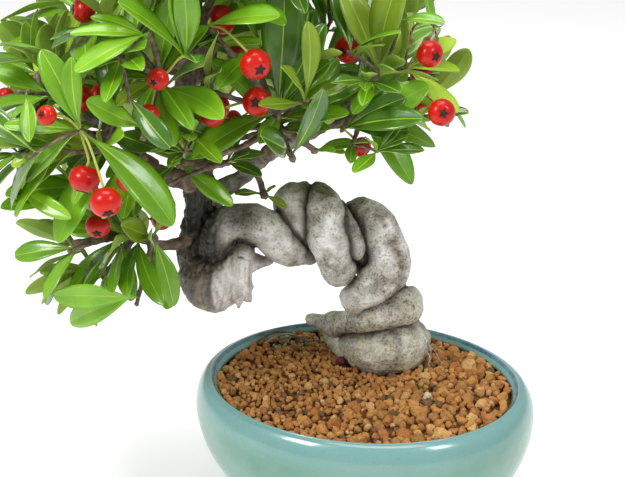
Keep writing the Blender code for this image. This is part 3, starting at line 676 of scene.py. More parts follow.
def tube(path, radii, sides, phase=0.0):
    """A closed tube along a path, as an array of points and its faces."""
    path = np.asarray(path, float)
    ahead = np.gradient(path, axis=0)
    ahead /= np.linalg.norm(ahead, axis=1)[:, None]
    across = np.cross(ahead[0], (0.3, 0.2, 1.0))
    if np.linalg.norm(across) < 1e-3:
        across = np.cross(ahead[0], (1.0, 0.1, 0))
    rings = []
    turns = phase + np.arange(sides) * 2 * math.pi / sides
    for place, way, radius in zip(path, ahead, radii):
        across = across - way * across.dot(way)
        across /= np.linalg.norm(across)
        other = np.cross(way, across)
        rings.append(place + radius * (np.cos(turns)[:, None] * across + np.sin(turns)[:, None] * other))
    last = (len(path) - 1) * sides
    faces = [(a + i, a + (i + 1) % sides, a + sides + (i + 1) % sides, a + sides + i)
             for a in range(0, last, sides) for i in range(sides)]
    faces += [tuple(range(sides))[::-1], tuple(range(last, last + sides))]
    return np.concatenate(rings), faces


def turned(profile, steps, pressed=1.0):
    """A profile of (radius, height) turned about Z and pressed to an oval, as points and faces."""
    points, rings = [], []
    for radius, height in profile:
        count = steps if radius else 1
        rings.append(list(range(len(points), len(points) + count)))
        for i in range(count):
            angle = 2 * math.pi * i / steps
            points.append((radius * math.cos(angle), radius * math.sin(angle) * pressed, height))
    faces = []
    for one, two in zip(rings, rings[1:]):
        for i in range(steps):
            j = (i + 1) % steps
            quad = [one[i % len(one)], one[j % len(one)], two[j % len(two)], two[i % len(two)]]
            faces.append(tuple(dict.fromkeys(quad))[::-1])
    return np.array(points), faces


def smooth_path(points, steps):
    """A smooth curve through points, as an array with steps to each length."""
    points = [Vector(point) for point in points]
    ends = [points[0] * 2 - points[1]] + points + [points[-1] * 2 - points[-2]]
    made = []
    for i in range(1, len(ends) - 2):
        a, b, c, d = ends[i - 1:i + 3]
        for step in range(steps + (i == len(ends) - 3)):
            t = step / steps
            made.append(0.5 * ((2 * b) + (c - a) * t + (2 * a - 5 * b + 4 * c - d) * t * t
                               + (3 * b - 3 * c + d - a) * t ** 3))
    return np.array([list(point) for point in made])


LEAF_ROWS = 18
LEAF_ALONG = 0.5 - 0.5 * np.cos(np.pi * np.linspace(0, 1, LEAF_ROWS))
LEAF_ACROSS = np.array([-1.0, -0.62, -0.27, 0, 0, 0.27, 0.62, 1.0])
LEAF_RIB = np.array([0, 0, 0, -1, 1, 0, 0, 0])
RIB_HALF = 0.3
LEAF_THICK = 0.3


def leaf_grid():
    """The faces of one leaf and their kinds: 0 for the upper side, 1 for the rib, 2 for the underside."""
    rows, columns = len(LEAF_ALONG), len(LEAF_ACROSS)
    under = rows * columns
    faces, kinds = [], []
    for i in range(rows - 1):
        for j in range(columns - 1):
            a = i * columns + j
            rib = j == (columns - 1) // 2 or i < 2
            faces.append((a, a + 1, a + columns + 1, a + columns))
            kinds.append(1 if rib else 0)
            b = a + under
            faces.append((b, b + columns, b + columns + 1, b + 1))
            kinds.append(1 if rib else 2)
        for j in (0, columns - 1):
            a = i * columns + j
            quad = (a, a + columns, a + columns + under, a + under)
            faces.append(quad if j == 0 else quad[::-1])
            kinds.append(2)
    for first, order in (((rows - 1) * columns, 1), (0, -1)):
        edge = tuple(range(first, first + columns))
        faces.append((edge + tuple(j + under for j in edge)[::-1])[::order])
        kinds.append(2)
    return faces, kinds


LEAF_FACES, LEAF_KINDS = leaf_grid()


def leaf_points(leaf, draw):
    """A leaf's points, with a waved edge, a slight twist, and a sunk rib that stands out below."""
    run = np.array(leaf.tip - leaf.base)
    long = float(np.linalg.norm(run))
    face = np.array(leaf.face)
    side = np.cross(run, face)
    side /= np.linalg.norm(side)
    along = LEAF_ALONG[:, None]
    blade = np.clip((along - 0.07) / 0.93, 0, 1)
    widest = draw.uniform(1.2, 1.65)
    half = leaf.width / 2 * np.sin(np.pi * blade ** widest) ** (0.85 - 0.35 * along)
    half = np.maximum(half, 0.3 - 0.12 * along)
    rib = np.minimum(RIB_HALF * (1 - 0.78 * along), half * 0.22)
    offset = half * LEAF_ACROSS + rib * LEAF_RIB
    across = np.abs(offset) / half
    high, turns, start = draw.uniform(0.08, 0.3), draw.uniform(7, 13), draw.uniform(0, 6)
    wave = high * np.sin(along * turns + start + np.sign(offset) * 1.3)
    veins = 0.055 * np.sin(2 * np.pi * (along * 7 - across * 0.9)) * across * (1.1 - across)
    twist = math.radians(draw.uniform(-14, 14)) * (along - 0.3)
    bend = draw.uniform(-0.035, 0.035) * long * np.sin(along * math.pi)
    rise = LEAF_ARCH * long * along * (1 - along) * draw.uniform(0.6, 1.15) + LEAF_FOLD * half * across ** 1.2
    rise = rise + wave * across ** 2 * np.minimum(1, along * 2) + offset * np.sin(twist)
    centre = np.array(leaf.base) + run * along[..., None] + side * (bend + offset)[..., None]
    groove = np.where(across < 0.25, 0.16, 0) * np.minimum(1, 1.15 - along)
    thick = LEAF_THICK * np.minimum(1, 1.25 - along * 0.6) * (1 - 0.5 * across ** 2)
    top = centre + face * (rise + thick / 2 + veins - groove)[..., None]
    low = centre + face * (rise - thick / 2 + veins - groove * 1.6)[..., None]
    return np.concatenate([top.reshape(-1, 3), low.reshape(-1, 3)])


# Kinds of green and the share of sprays that have each: the slots are upper sides, then a rib and an
# underside that all share
GREENS = {"leaf_mid": 0.4, "leaf_bright": 0.26, "leaf_deep": 0.2, "leaf_young": 0.07, "leaf_olive": 0.07}
STRAY_GREEN = 0.3

LEAF_PIECES = {
    "leaves_right": ["foliage_right", "foliage_front", "foliage_fork", "foliage_inner"],
    "leaves_left": ["foliage_left", "foliage_low_left", "foliage_front_left"],
    "leaves_top": ["foliage_top", "foliage_top_back"],
    "leaves_back": ["foliage_back", "foliage_back_right", "foliage_back_left"],
}


def deal_green(leaf, plant, draw):
    """The green of the spray that a leaf belongs to, which a few of its leaves depart from."""
    node = min((node for node, _ in plant.nodes), key=lambda node: (node - leaf.base).length)
    if draw.random() > STRAY_GREEN:
        draw = random.Random(f"{plant.name} {node.x:.1f} {node.y:.1f} {node.z:.1f}")
    return draw.choices(range(len(GREENS)), list(GREENS.values()))[0]


def make_leaves(name, plants, materials):
    shape = Shape()
    draw = random.Random(SEEDS["leaves"])
    for mass in LEAF_PIECES[name]:
        for leaf in plants[mass].leaves:
            slots = (deal_green(leaf, plants[mass], draw), len(GREENS), len(GREENS) + 1)
            shape.add(leaf_points(leaf, draw), LEAF_FACES, [slots[kind] for kind in LEAF_KINDS])
    shape.piece(name, materials, TREE_FRAME, "leaves", *LEAF_PIECES[name])


def knobbly(path, radii, sides, draw, rough):
    """A limb with swellings where it once bore leaves, and a rough bark."""
    lengths = path_lengths(path)
    knobs = np.zeros(len(path))
    place = draw.uniform(1, 3)
    while place < lengths[-1]:
        knobs += draw.uniform(0.1, 0.3) * np.exp(-((lengths - place) / 0.6) ** 2)
        place += draw.uniform(2.2, 4.5)
    points, faces = tube(path, radii * (1 + knobs), sides, draw.uniform(0, 6))
    centres = np.repeat(path, sides, axis=0)
    swell = noise_at(points, 1.1) * rough + noise_at(points, 3.1) * rough * 0.5
    return centres + (points - centres) * (1 + swell)[:, None], faces


# How much each noise swells a stone, and its scale
LUMP_NOISE = ((0.34, 1.2), (0.28, 2.9), (0.16, 6.3))


def lump(draw, subdivisions, cuts=0):
    """A rounded stone of radius about 1, from a ball of triangles, with a few sides broken flat."""
    points, faces = ball(subdivisions, 1)
    points = np.array(points, float)
    shift = [draw.uniform(0, 99) for _ in range(3)]
    swell = 1 + sum(share * noise_at(points * scale + shift, 1) for share, scale in LUMP_NOISE)
    points = points * swell[:, None]
    for _ in range(cuts):
        way = np.array(any_way(draw))
        over = np.clip(points @ way - draw.uniform(0.62, 0.85), 0, None)
        points = points - over[:, None] * way * 0.92
    return points, faces


TWIG_SIDES = 7
BOUGH_SIDES = 16
TWIG_BOW = 0.8


def make_twigs(plants, materials):
    """The twigs, each a little bowed, and a knob where they fork."""
    shape = Shape()
    draw = random.Random(SEEDS["twigs"])
    for plant in plants.values():
        for number, twig in enumerate(plant.twigs):
            start, end = twig.start, twig.end
            if number == 0:
                start = start - (end - start).normalized() * 2 * CLEARANCE
            run = end - start
            side = run.orthogonal().normalized()
            side.rotate(Matrix.Rotation(draw.uniform(0, 6.28), 3, run.normalized()))
            bow = side * min(0.05 * run.length, TWIG_BOW)
            shares = np.linspace(0, 1, max(6, int(run.length * 1.3)))
            path = np.array([list(start.lerp(end, s) + bow * math.sin(math.pi * s)) for s in shares])
            radii = twig.thick + (twig.thin - twig.thick) * shares
            shape.add(*knobbly(path, radii, TWIG_SIDES, draw, 0.25), 0)
    for plant in plants.values():
        for node, path in plant.nodes:
            points, faces = lump(draw, 2)
            shape.add(points * twig_radius(path, FINE_TWIG) * 1.25 + np.array(node), faces, 0)
    shape.piece("twigs", materials, TREE_FRAME, "young_bark")


GREY_BOUGHS = ["bough_right"]
LEADER_ROOT = (-46.0, 8.5, 95)


def make_boughs(materials):
    """The boughs, flared where they leave the limb that carries them."""
    shape = Shape()
    draw = random.Random(SEEDS["boughs"])
    for name, bough in BOUGHS.items():
        path = smooth_path([LEADER_ROOT] * (name == "leader") + bough.route, 9)
        path = np.concatenate([path, [path[-1] + (path[-1] - path[-2]) * 0.2]])
        shares = np.linspace(0, 1, len(path))
        radii = (bough.thick + (bough.thin - bough.thick) * shares) * (1 + 0.55 * np.exp(-shares * 9))
        shape.add(*knobbly(path, radii, BOUGH_SIDES, draw, 0.16), GREY_BOUGHS.count(name))
    made = shape.piece("boughs", materials, TREE_FRAME, "young_bark", *BOUGHS)
    rounded = made.modifiers.new("Rounded", "SUBSURF")
    rounded.levels = rounded.render_levels = 1


# The berries, in shares of their radius
BIG_BERRIES = ["foliage_front", "foliage_left"]
BIG_SHARE = (0.93, 1.0)
SMALL_SHARE = (0.6, 0.92)
BERRY_SIDES = 20
BERRY_RINGS = 14
BERRY_FLAT = 0.9
DIMPLE_WIDE = 0.3
DIMPLE_DEEP = 0.16
STALK_DIMPLE = 0.1
STAR_REACH = np.array([0.42, 0.2] * 5)
STAR_HIGH = 0.05
STAR_MIDDLE = 0.79


def berry_shape(shape, middle, way, radius, draw):
    """A berry, a little flattened, with a dark star at the end away from its stalk."""
    turn = np.array(way.to_track_quat("Z", "Y").to_matrix())
    angles = [math.pi * ring / BERRY_RINGS for ring in range(1, BERRY_RINGS)]
    profile = [(0, 1)] + [(math.sin(angle), math.cos(angle)) for angle in angles] + [(0, -1)]
    points, faces = turned(profile, BERRY_SIDES)
    dimple = np.exp(-(np.hypot(points[:, 0], points[:, 1]) / DIMPLE_WIDE) ** 2)
    points[:, 2] *= BERRY_FLAT
    points[:, 2] -= np.sign(points[:, 2]) * dimple * np.where(points[:, 2] > 0, DIMPLE_DEEP, STALK_DIMPLE)
    shape.add(points * radius @ turn.T + np.array(middle), faces, 0)
    count = len(STAR_REACH)
    angles = draw.uniform(0, 6) + np.pi * 2 / count * np.arange(count)
    heights = (BERRY_FLAT * np.sqrt(1 - STAR_REACH ** 2) + STAR_HIGH
               - DIMPLE_DEEP * np.exp(-(STAR_REACH / DIMPLE_WIDE) ** 2))
    star = np.column_stack([STAR_REACH * np.cos(angles), STAR_REACH * np.sin(angles), heights])
    points = np.concatenate([star, [(0, 0, STAR_MIDDLE)], star * (0.8, 0.8, 1) - (0, 0, 0.1)])
    faces = [(count, i, (i + 1) % count) for i in range(count)]
    faces += [(i, count + 1 + i, count + 1 + (i + 1) % count, (i + 1) % count) for i in range(count)]
    faces.append(tuple(range(count + 1, 2 * count + 1))[::-1])
    shape.add(points * radius @ turn.T + np.array(middle), faces, 1)


def stalk_path(node, middle, way, radius):
    """A berry's stalk, which arches from its twig and comes in at the berry's back."""
    end = middle - way * radius * 0.8
    lift = Vector((0, 0, 0.16 * (end - node).length))
    return smooth_path([node, node.lerp(end, 0.4) + lift, end - way * 1.6 + lift * 0.3, end], 5)


def make_berries(plants, materials):
    """The berries on their stalks, the largest where they show at the front and the left."""
    shape = Shape()
    draw = random.Random(SEEDS["berries"])
    big = [Vector(place) for name in BIG_BERRIES for place in FRONT_BERRIES[name]]
    for plant in plants.values():
        for middle, node in plant.berries:
            lean = Vector((draw.uniform(-0.5, 0.5), draw.uniform(-1.1, 0), draw.uniform(-0.5, 0.3)))
            way = ((middle - node).normalized() + lean).normalized()
            shares = BIG_SHARE if any((place - middle).length < 0.1 for place in big) else SMALL_SHARE
            radius = BERRY_RADIUS * draw.uniform(*shares)
            berry_shape(shape, middle, way, radius, draw)
            path = stalk_path(node, middle, way, radius)
            shape.add(*tube(path, np.linspace(0.3, 0.38, len(path)), 6), 2)
    shape.piece("berries", materials, TREE_FRAME, "leaves")


def worked_out(holder):
    """The mesh that an object's curve or modifiers make, in place of the object."""
    graph = bpy.context.evaluated_depsgraph_get()
    graph.update()
    mesh = bpy.data.meshes.new_from_object(holder.evaluated_get(graph))
    source = holder.data
    bpy.data.objects.remove(holder, do_unlink=True)
    bpy.data.batch_remove([source])
    return mesh


def add_coil(shape, name, route):
    """Add a coil to a mesh in hand, as a closed tube with a ball at each end."""
    curve = bpy.data.curves.new(name, "CURVE")
    curve.dimensions = "3D"
    curve.bevel_depth = 1.0
    curve.bevel_resolution = 8
    curve.use_fill_caps = True
    curve.resolution_u = curve.render_resolution_u = 12
    spline = curve.splines.new("BEZIER")
    spline.bezier_points.add(len(route) - 1)
    for point, (x, y, z, radius) in zip(spline.bezier_points, route):
        point.co = (x, y, z)
        point.radius = radius
        point.handle_left_type = point.handle_right_type = "AUTO"
    mesh = worked_out(link(name, curve))
    shape.from_mesh(mesh)
    bpy.data.meshes.remove(mesh)
    for x, y, z, radius in (route[0], route[-1]):
        bmesh.ops.create_uvsphere(shape, u_segments=24, v_segments=16, radius=radius,
                                  matrix=Matrix.Translation((x, y, z)))


def coil_samples(route, steps=10):
    """Balls along a coil's centre line, as arrays of places and radii."""
    path = smooth_path([point[:3] for point in route], steps)
    spots = np.linspace(0, len(route) - 1, len(path))
    return path, np.interp(spots, range(len(route)), [point[3] for point in route])


def make_trunk(materials):
    """The coils grown into one body, with creases where they meet and the bark's own relief."""
    shape = bmesh.new()
    for name, route in TRUNK_COILS.items():
        add_coil(shape, name, route)
    mesh = bpy.data.meshes.new("coils")
    shape.to_mesh(mesh)
    shape.free()
    trunk = link("coils", mesh)
    grown = trunk.modifiers.new("Grown together", "REMESH")
    grown.mode = "VOXEL"
    grown.voxel_size = TRUNK_VOXEL
    soft = trunk.modifiers.new("Softened", "SMOOTH")
    soft.factor = 0.5
    soft.iterations = 2
    mesh = worked_out(trunk)
    relief(mesh)
    cut_below(mesh, SOIL_TOP - 3.2)
    mesh.transform(TREE_FRAME)
    dress("trunk_bark", mesh, materials, "bark", "trunk")


def cut_below(mesh, height):
    shape = bmesh.new()
    shape.from_mesh(mesh)
    cut = bmesh.ops.bisect_plane(shape, geom=shape.verts[:] + shape.edges[:] + shape.faces[:], dist=1e-4,
                                 plane_co=(0, 0, height), plane_no=(0, 0, -1), clear_outer=True)
    edges = [item for item in cut["geom_cut"] if isinstance(item, bmesh.types.BMEdge)]
    bmesh.ops.triangle_fill(shape, edges=edges, use_beauty=True, use_dissolve=False)
    shape.to_mesh(mesh)
    shape.free()


FAR = 1e9
BARK_NEAR = 2.5
CREASE_WIDE = 0.5
DEAD_MIDDLE = (-34, -2, 67)
DEAD_HALF = (6, 8, 9)
# Marks in the bark: the kind, how wide and how deep, and the line that it follows on the front
BARK_LINES = [
    ("crease", 0.45, 0.5, [(-40, -6, 75.8), (-36.5, -4, 76.2), (-33, -2, 75.2), (-30.5, 0, 73.4)]),
    ("crease", 0.4, 0.35, [(-42.5, -4, 79.5), (-39.5, -5, 80.6), (-36, -4, 80.5)]),
    ("crease", 0.35, 0.3, [(-44, -3, 62), (-42.5, -4.5, 67), (-41.5, -4, 72)]),
    ("crease", 0.9, 0.6, [(-14.8, 4, 93.5), (-14.4, 3, 91.5)]),
    ("crease", 0.4, 0.25, [(8.5, 3, 66), (11.5, 3.5, 67.2), (14, 5, 69.5)]),
    ("crease", 0.35, 0.22, [(7.5, 3, 62.8), (10.8, 3.5, 63.6), (13.4, 5, 65)]),
    ("crease", 0.4, 0.25, [(3.5, 1, 84.5), (6.5, 2, 83), (8.8, 3, 80)]),
    ("crease", 0.35, 0.2, [(-5.6, -3, 80), (-3, -3, 83.4), (-1.8, -1, 86)]),
    ("crease", 0.4, 0.25, [(2, -6, 49.5), (3.5, -6, 46), (3, -6, 42)]),
    ("crease", 0.35, 0.25, [(9, -5, 50), (10.4, -5, 46.6), (9.6, -5, 43)]),
    ("scar", 1.1, 0.35, [(7.5, 1.5, 77.5), (8.8, 1.5, 74.5), (9.6, 1, 71.5)]),
    ("scar", 0.7, 0.25, [(3.4, 3, 84), (5.5, 3, 81.5)]),
    ("scar", 0.5, 0.3, [(-11.2, -2.5, 75.5), (-9.6, -2.5, 72.5)]),
    ("scar", 0.5, 0.2, [(11.5, 4.5, 59.5), (13.5, 5.5, 57.5)]),
]


def line_share(points, width, line):
    """How near each point is to a line, from 1 on it to 0 well away, as seen from the front."""
    nearest = np.full(len(points), FAR)
    for one, two in zip(line, line[1:]):
        one, run = np.array(one, float), np.array(two, float) - one
        share = np.clip((points - one) @ run / run.dot(run), 0, 1)
        away = points - one - share[:, None] * run
        away[:, 1] *= 0.12
        np.minimum(nearest, np.linalg.norm(away, axis=1), out=nearest)
    return np.exp(-(nearest / width) ** 2) * rise(points[:, 1], 12, -3)


def grown_as_one(one, two):
    return one == two or any(one in group and two in group for group in GROWN_AS_ONE)


def rows_of(items, name):
    """One vector of each of a mesh's items, as rows."""
    values = np.empty(len(items) * 3)
    items.foreach_get(name, values)
    return values.reshape(-1, 3)


def coil_places(points):
    """How far apart the two nearest coils are at each point, how far from the bark it lies, and how
    far along its own coil."""
    gaps, along = np.empty((2, len(TRUNK_COILS), len(points)))
    for number, route in enumerate(TRUNK_COILS.values()):
        path, radii = coil_samples(route)
        away = np.array([np.linalg.norm(points - place, axis=1) - radius
                         for place, radius in zip(path, radii)])
        gaps[number] = away.min(0)
        weights = np.exp(-(away - gaps[number]) * 1.5)
        along[number] = (weights * path_lengths(path)[:, None]).sum(0) / weights.sum(0)
    first = gaps.argmin(0)
    joined = np.array([[grown_as_one(one, two) for two in TRUNK_COILS] for one in TRUNK_COILS])
    apart = np.where(joined[first].T, FAR, gaps).min(0) - gaps.min(0)
    return apart, np.abs(gaps.min(0)), along[first, np.arange(len(points))]


def relief(mesh):
    """Press the creases in, raise the bark's lumps and wrinkles, and mark where its colour changes and where
    shade is painted into it.
    """
    points, normals = rows_of(mesh.vertices, "co"), rows_of(mesh.vertex_normals, "vector")
    apart, off, along = coil_places(points)
    x, y, z = points.T
    dead = np.clip(2.4 * (1.35 - np.linalg.norm((points - DEAD_MIDDLE) / DEAD_HALF, axis=1)), 0, 1)
    moss = rise(z, 62, -8)
    brown = rise(x, -37, -4) * rise(z, 55, 5) * (1 - dead)
    # Dark young bark on the upright and the knuckle's top, darkened further as painted shade under the crown
    young = rise(z + (x + 38) * 0.6, 68, 8) * rise(x, -37, -3.5)
    # Darker on the side coil's top by the upright: painted shade under the crown
    smut_and_shade = rise(z, 83, 3) * rise(x, -27, -4)
    shade = (0.62 * np.exp(-(apart / 1.7) ** 2) + 0.42 * np.exp(-(apart / 4.6) ** 2)) * (off < BARK_NEAR)
    shade *= 1 - 0.45 * rise(z, 48, 3) * rise(z, 62, -3)
    shade += 0.36 * rise(x, -20, -12) * rise(z, 68, 6) * (1 - dead)
    crease = np.exp(-(apart / CREASE_WIDE) ** 2) * (off < BARK_NEAR)
    scar = np.zeros(len(points))
    for kind, width, depth, line in BARK_LINES:
        share = line_share(points, width, line)
        if kind == "crease":
            crease = np.maximum(crease, share * depth / CREASE_WIDE)
        else:
            scar = np.maximum(scar, share)
    lumps = noise_at(points, 0.16) * 0.6 + noise_at(points, 0.4) * 0.28
    streaks = noise_at(points, (1.1, 1.1, 0.16))
    cracks = noise_at(points, (0.5, 0.5, 2.6))
    rings = noise_at(np.column_stack([along, x, y + z]), (0.75, 0.12, 0.12))
    rough = 0.1 + 0.14 * brown + 0.3 * scar + 0.12 * young
    lift = lumps + noise_at(points, 1.3) * rough - crease * 0.65
    lift -= rise(z, 60, -5) * np.clip(cracks - 0.3, 0, 1) * 0.5
    lift += streaks * (dead * 0.6 + brown * 0.5 + young * 0.3) + scar * 0.25
    lift += rings * 0.2 * (1 - np.maximum(dead, young))
    mesh.vertices.foreach_set("co", (points + normals * lift[:, None]).ravel())
    pale = np.clip(dead * 0.9 + (lumps + streaks) * 0.55 * (dead > 0), 0, 1) * np.clip(dead * 3, 0, 1)
    marks = {"crease": crease, "shade": shade, "moss": moss, "dead": pale, "brown": brown,
             "young": np.maximum(young, smut_and_shade * 0.6), "scar": scar}
    for name, values in marks.items():
        made = mesh.attributes.new(name, "FLOAT", "POINT")
        made.data.foreach_set("value", values.astype(np.float32))
    mesh.update()


def belly_radius(height):
    """The pot's outer half length at a height, from its foot to its rim."""
    belly, rim, foot = POT_LONG / 2, RIM_LONG / 2, FOOT_LONG / 2
    widest = POT_HEIGHT - BELLY_DROP
    if height >= widest:
        share = (height - widest) / BELLY_DROP
        return rim + (belly - rim) * (math.sqrt(1 - 0.96 * share * share) - 0.2) / 0.8
    share = (widest - height) / (widest - FOOT_HEIGHT)
    return foot + (belly - foot) * (1 - min(share, 1) ** BELLY_POWER) ** (1 / BELLY_POWER)


def pot_profile():
    """Up the inside from the floor's centre, over the rim and down the outside to the foot, and which
    lengths of it are the dark line at the rim's inner edge."""
    floor_top = FOOT_HEIGHT + POT_FLOOR
    shares = [1 - (1 - i / 40) ** 1.6 for i in range(1, 41)]
    heights = [FOOT_HEIGHT + (POT_HEIGHT - 0.6 - FOOT_HEIGHT) * share for share in shares]
    outer = [(belly_radius(height), height) for height in heights]
    inner = [(radius - POT_WALL, height) for radius, height in outer
             if floor_top + 1 < height < POT_HEIGHT - 2]
    floor = [(0, floor_top), (inner[0][0] * 0.5, floor_top), (inner[0][0] - 3, floor_top),
             (inner[0][0] - 1, floor_top + 0.3)]
    edge = belly_radius(POT_HEIGHT)
    lip = [(edge - 2.5, POT_HEIGHT - 2.2), (edge - 1.9, POT_HEIGHT - 1.6), (edge - 1.35, POT_HEIGHT - 0.9),
           (edge - 0.95, POT_HEIGHT - 0.35), (edge - 0.65, POT_HEIGHT - 0.07), (edge - 0.4, POT_HEIGHT),
           (edge - 0.18, POT_HEIGHT - 0.12), (edge - 0.02, POT_HEIGHT - 0.4)]
    start = len(floor + inner)
    blue = range(start + 2, start + 4)
    foot = [(FOOT_LONG / 2, FOOT_HEIGHT), (FOOT_LONG / 2 - 0.1, FOOT_HEIGHT - 0.5),
            (FOOT_LONG / 2 - 0.2, FOOT_HEIGHT / 2), (FOOT_LONG / 2 - 0.4, 0.3), (FOOT_LONG / 2 - 0.8, 0)]
    return floor + inner + lip + outer[::-1] + foot + [(FOOT_LONG / 4, 0), (0, 0)], blue


POT_UNEVEN = 0.22 / 47


def make_pot(materials):
    """The oval pot, a little uneven, with the dark line at the rim's inner edge."""
    shape = Shape()
    profile, blue = pot_profile()
    points, faces = turned(profile, POT_STEPS, PRESSED)
    uneven = np.abs(noise_at(points, 0.05)) * POT_UNEVEN * rise(points[:, 2], 0, 6)
    points[:, :2] *= (1 - uneven)[:, None]
    shape.add(points, faces, [int(number // POT_STEPS in blue) for number in range(len(faces))])
    pot = shape.piece("pot_glazed", materials, POT_FRAME, "glaze", "pot")
    face_outwards(pot.data)


def oval(x, y):
    """How far out a place lies in the pot's oval, from 0 at its middle to 1 at the inside of the rim."""
    inside = RIM_LONG / 2 - POT_WALL + 0.4
    return math.hypot(x / inside, y / (inside * PRESSED))


def soil_height(x, y):
    """The soil's surface, uneven, heaped round the trunk and lower at the rim."""
    fall = rise(oval(x, y), SOIL_FLAT, 1 - SOIL_FLAT)
    lump = noise.noise(Vector((x, y, SOIL_TOP)) / LUMP_WIDE) * SOIL_LUMP
    return SOIL_TOP - 0.4 - SOIL_FALL * fall * fall * (3 - 2 * fall) - 0.5 * max(lump, -fall * SOIL_FALL / 2)


BED_SHARES = [0, 0.1, 0.2, 0.3, 0.4, 0.5, 0.6, 0.7, 0.78, 0.86, 0.93, 0.98]
BED_STEPS = 96
BED_DEEP = 1.2


def make_soil(materials):
    """A base of soil that fills the pot, dark as painted shade in the gaps between the grains."""
    inside = RIM_LONG / 2 - POT_WALL + 0.2
    side = [(belly_radius(height) - POT_WALL - 0.5, height) for height in (33, 30, 26, 22, 17, 12, 9)]
    floor = FOOT_HEIGHT + POT_FLOOR + CLEARANCE
    profile = [(inside * share, 0) for share in BED_SHARES] + side + [(side[-1][0] - 4, floor), (0, floor)]
    points, faces = turned(profile, BED_STEPS, PRESSED)
    for point in points[:1 + BED_STEPS * (len(BED_SHARES) - 1)]:
        x, y, _ = point
        point[2] = soil_height(x, y) - BED_DEEP + 0.35 * noise.noise(Vector((x, y, 0)) * 0.7)
    shape = Shape()
    shape.add(points, faces, 0)
    soil = shape.piece("soil_bed", materials, POT_FRAME, "soil", "soil")
    face_outwards(soil.data)


FOOT_COILS = [coil_samples(TRUNK_COILS[name]) for name in ("root_bulge", "back_coil")]


def trunk_foot(x, y):
    """How far a place in the pot's frame is from the trunk where it meets the soil."""
    place = Matrix.Rotation(-FRONT_TURN, 3, "Z") @ Vector((x, y, 0))
    gap = FAR
    for path, radii in FOOT_COILS:
        for spot, radius in zip(path, radii):
            square = radius ** 2 - (spot[2] - SOIL_TOP) ** 2
            if square > 0:
                gap = min(gap, math.hypot(place.x - spot[0], place.y - spot[1]) - math.sqrt(square))
    return gap


# The grains' browns and the share of grains that have each, and then the strays' two materials
GRAIN_TINTS = {"clay_orange": 0.36, "clay_brown": 0.32, "clay_ochre": 0.1, "clay_dark": 0.1,
               "clay_rust": 0.12}
STRAY_TINTS = ["stone_pale", "lichen"]
PALE_CHIP, LICHEN = 5, 6
# Strays in the pot's frame: (x, y, size, tint) for a stone, and (x, y) for a patch of lichen
STRAY_STONES = [(19.5, -4.7, 1.7, PALE_CHIP), (-7, -15, 0.8, PALE_CHIP), (4, -27, 0.6, PALE_CHIP)]
LICHEN_SPOTS = [(-30, 18.8), (-26.4, 18.6), (-28.3, 21.3), (-24, 22), (-31.3, 16.2), (-21.5, 23.4)]
LICHEN_BITS = 7
GRAIN_TRIES = 11000
FIRST_TRIES = 4000
FILLING_SIZE = 0.62
GRAIN_APART = 0.76
GRID_CELL = 2.0
LARGE_GRAIN = 1.25
STONE_KINDS = 16


def grain_size(x, y, draw):
    """Fine grains in the middle and to the left, coarse ones at the front and the right."""
    rim = rise(oval(x, y), 0.7, 0.3)
    coarse = max(rise(x * 0.85 - y * 0.45, -4, 28), rim * 0.5, rise(x, 6, 10) * rise(y, 6, 8))
    low, high = 0.7 + 0.4 * coarse, 1.25 + 1.15 * coarse
    size = low + (high - low) * draw.random() ** 1.5
    return size * (1.35 if draw.random() < 0.05 else 1)


def place_grains(draw):
    """Where grains lie, as (x, y, size, tint): strays, large grains, then small ones between them."""
    half_x = RIM_LONG / 2 - POT_WALL
    half_y = half_x * POT_SHORT / POT_LONG
    strays = list(STRAY_STONES)
    for x, y in LICHEN_SPOTS:
        strays += [(x + draw.gauss(0, 1.3), y + draw.gauss(0, 1.1), draw.uniform(0.5, 1.1), LICHEN)
                   for _ in range(LICHEN_BITS)]
    grid, grains = {}, []
    for turn in range(GRAIN_TRIES):
        if turn < len(strays):
            x, y, size, tint = strays[turn]
        else:
            x, y = draw.uniform(-half_x, half_x), draw.uniform(-half_y, half_y)
            size = grain_size(x, y, draw) * (1 if turn < FIRST_TRIES else FILLING_SIZE)
            tint = draw.choices(range(len(GRAIN_TINTS)), list(GRAIN_TINTS.values()))[0]
        if oval(x, y) > 1.025 - size * 0.8 / half_x or trunk_foot(x, y) < size * 0.35:
            continue
        column, row = int(x // GRID_CELL), int(y // GRID_CELL)
        near = [grain for i in range(-2, 3) for j in range(-2, 3)
                for grain in grid.get((column + i, row + j), ())]
        if any(math.hypot(x - gx, y - gy) < (size + other) * GRAIN_APART for gx, gy, other, _ in near):
            continue
        grid.setdefault((column, row), []).append((x, y, size, tint))
        grains.append((x, y, size, tint))
    return grains


def make_grains(materials):
    """The clay grains, each one of a few broken stones, turned and stretched, in two pieces."""
    draw = random.Random(SEEDS["grains"])
    stones = [[lump(draw, level, cuts=5) for _ in range(STONE_KINDS)] for level in (2, 3)]
    shapes = [Shape(), Shape()]
    for number, (x, y, size, tint) in enumerate(place_grains(draw)):
        points, faces = draw.choice(stones[1 if size > LARGE_GRAIN else 0])
        axis = any_way(draw)
        turn = np.array(Matrix.Rotation(draw.uniform(0, 6.28), 3, axis))
        stretch = np.array([draw.uniform(0.8, 1.2), draw.uniform(0.8, 1.1), draw.uniform(0.7, 1.0)])
        height = soil_height(x, y) - size * 0.35 + draw.uniform(-0.35, 0.3) + rise(oval(x, y), 0.8, 0.2) * 0.9
        shapes[number % 2].add((points * stretch * size * 1.08) @ turn.T + (x, y, height), faces, tint)
    for number, shape in enumerate(shapes):
        shape.piece(f"clay_grains_{number + 1}", materials, POT_FRAME, "soil", sharp=38)


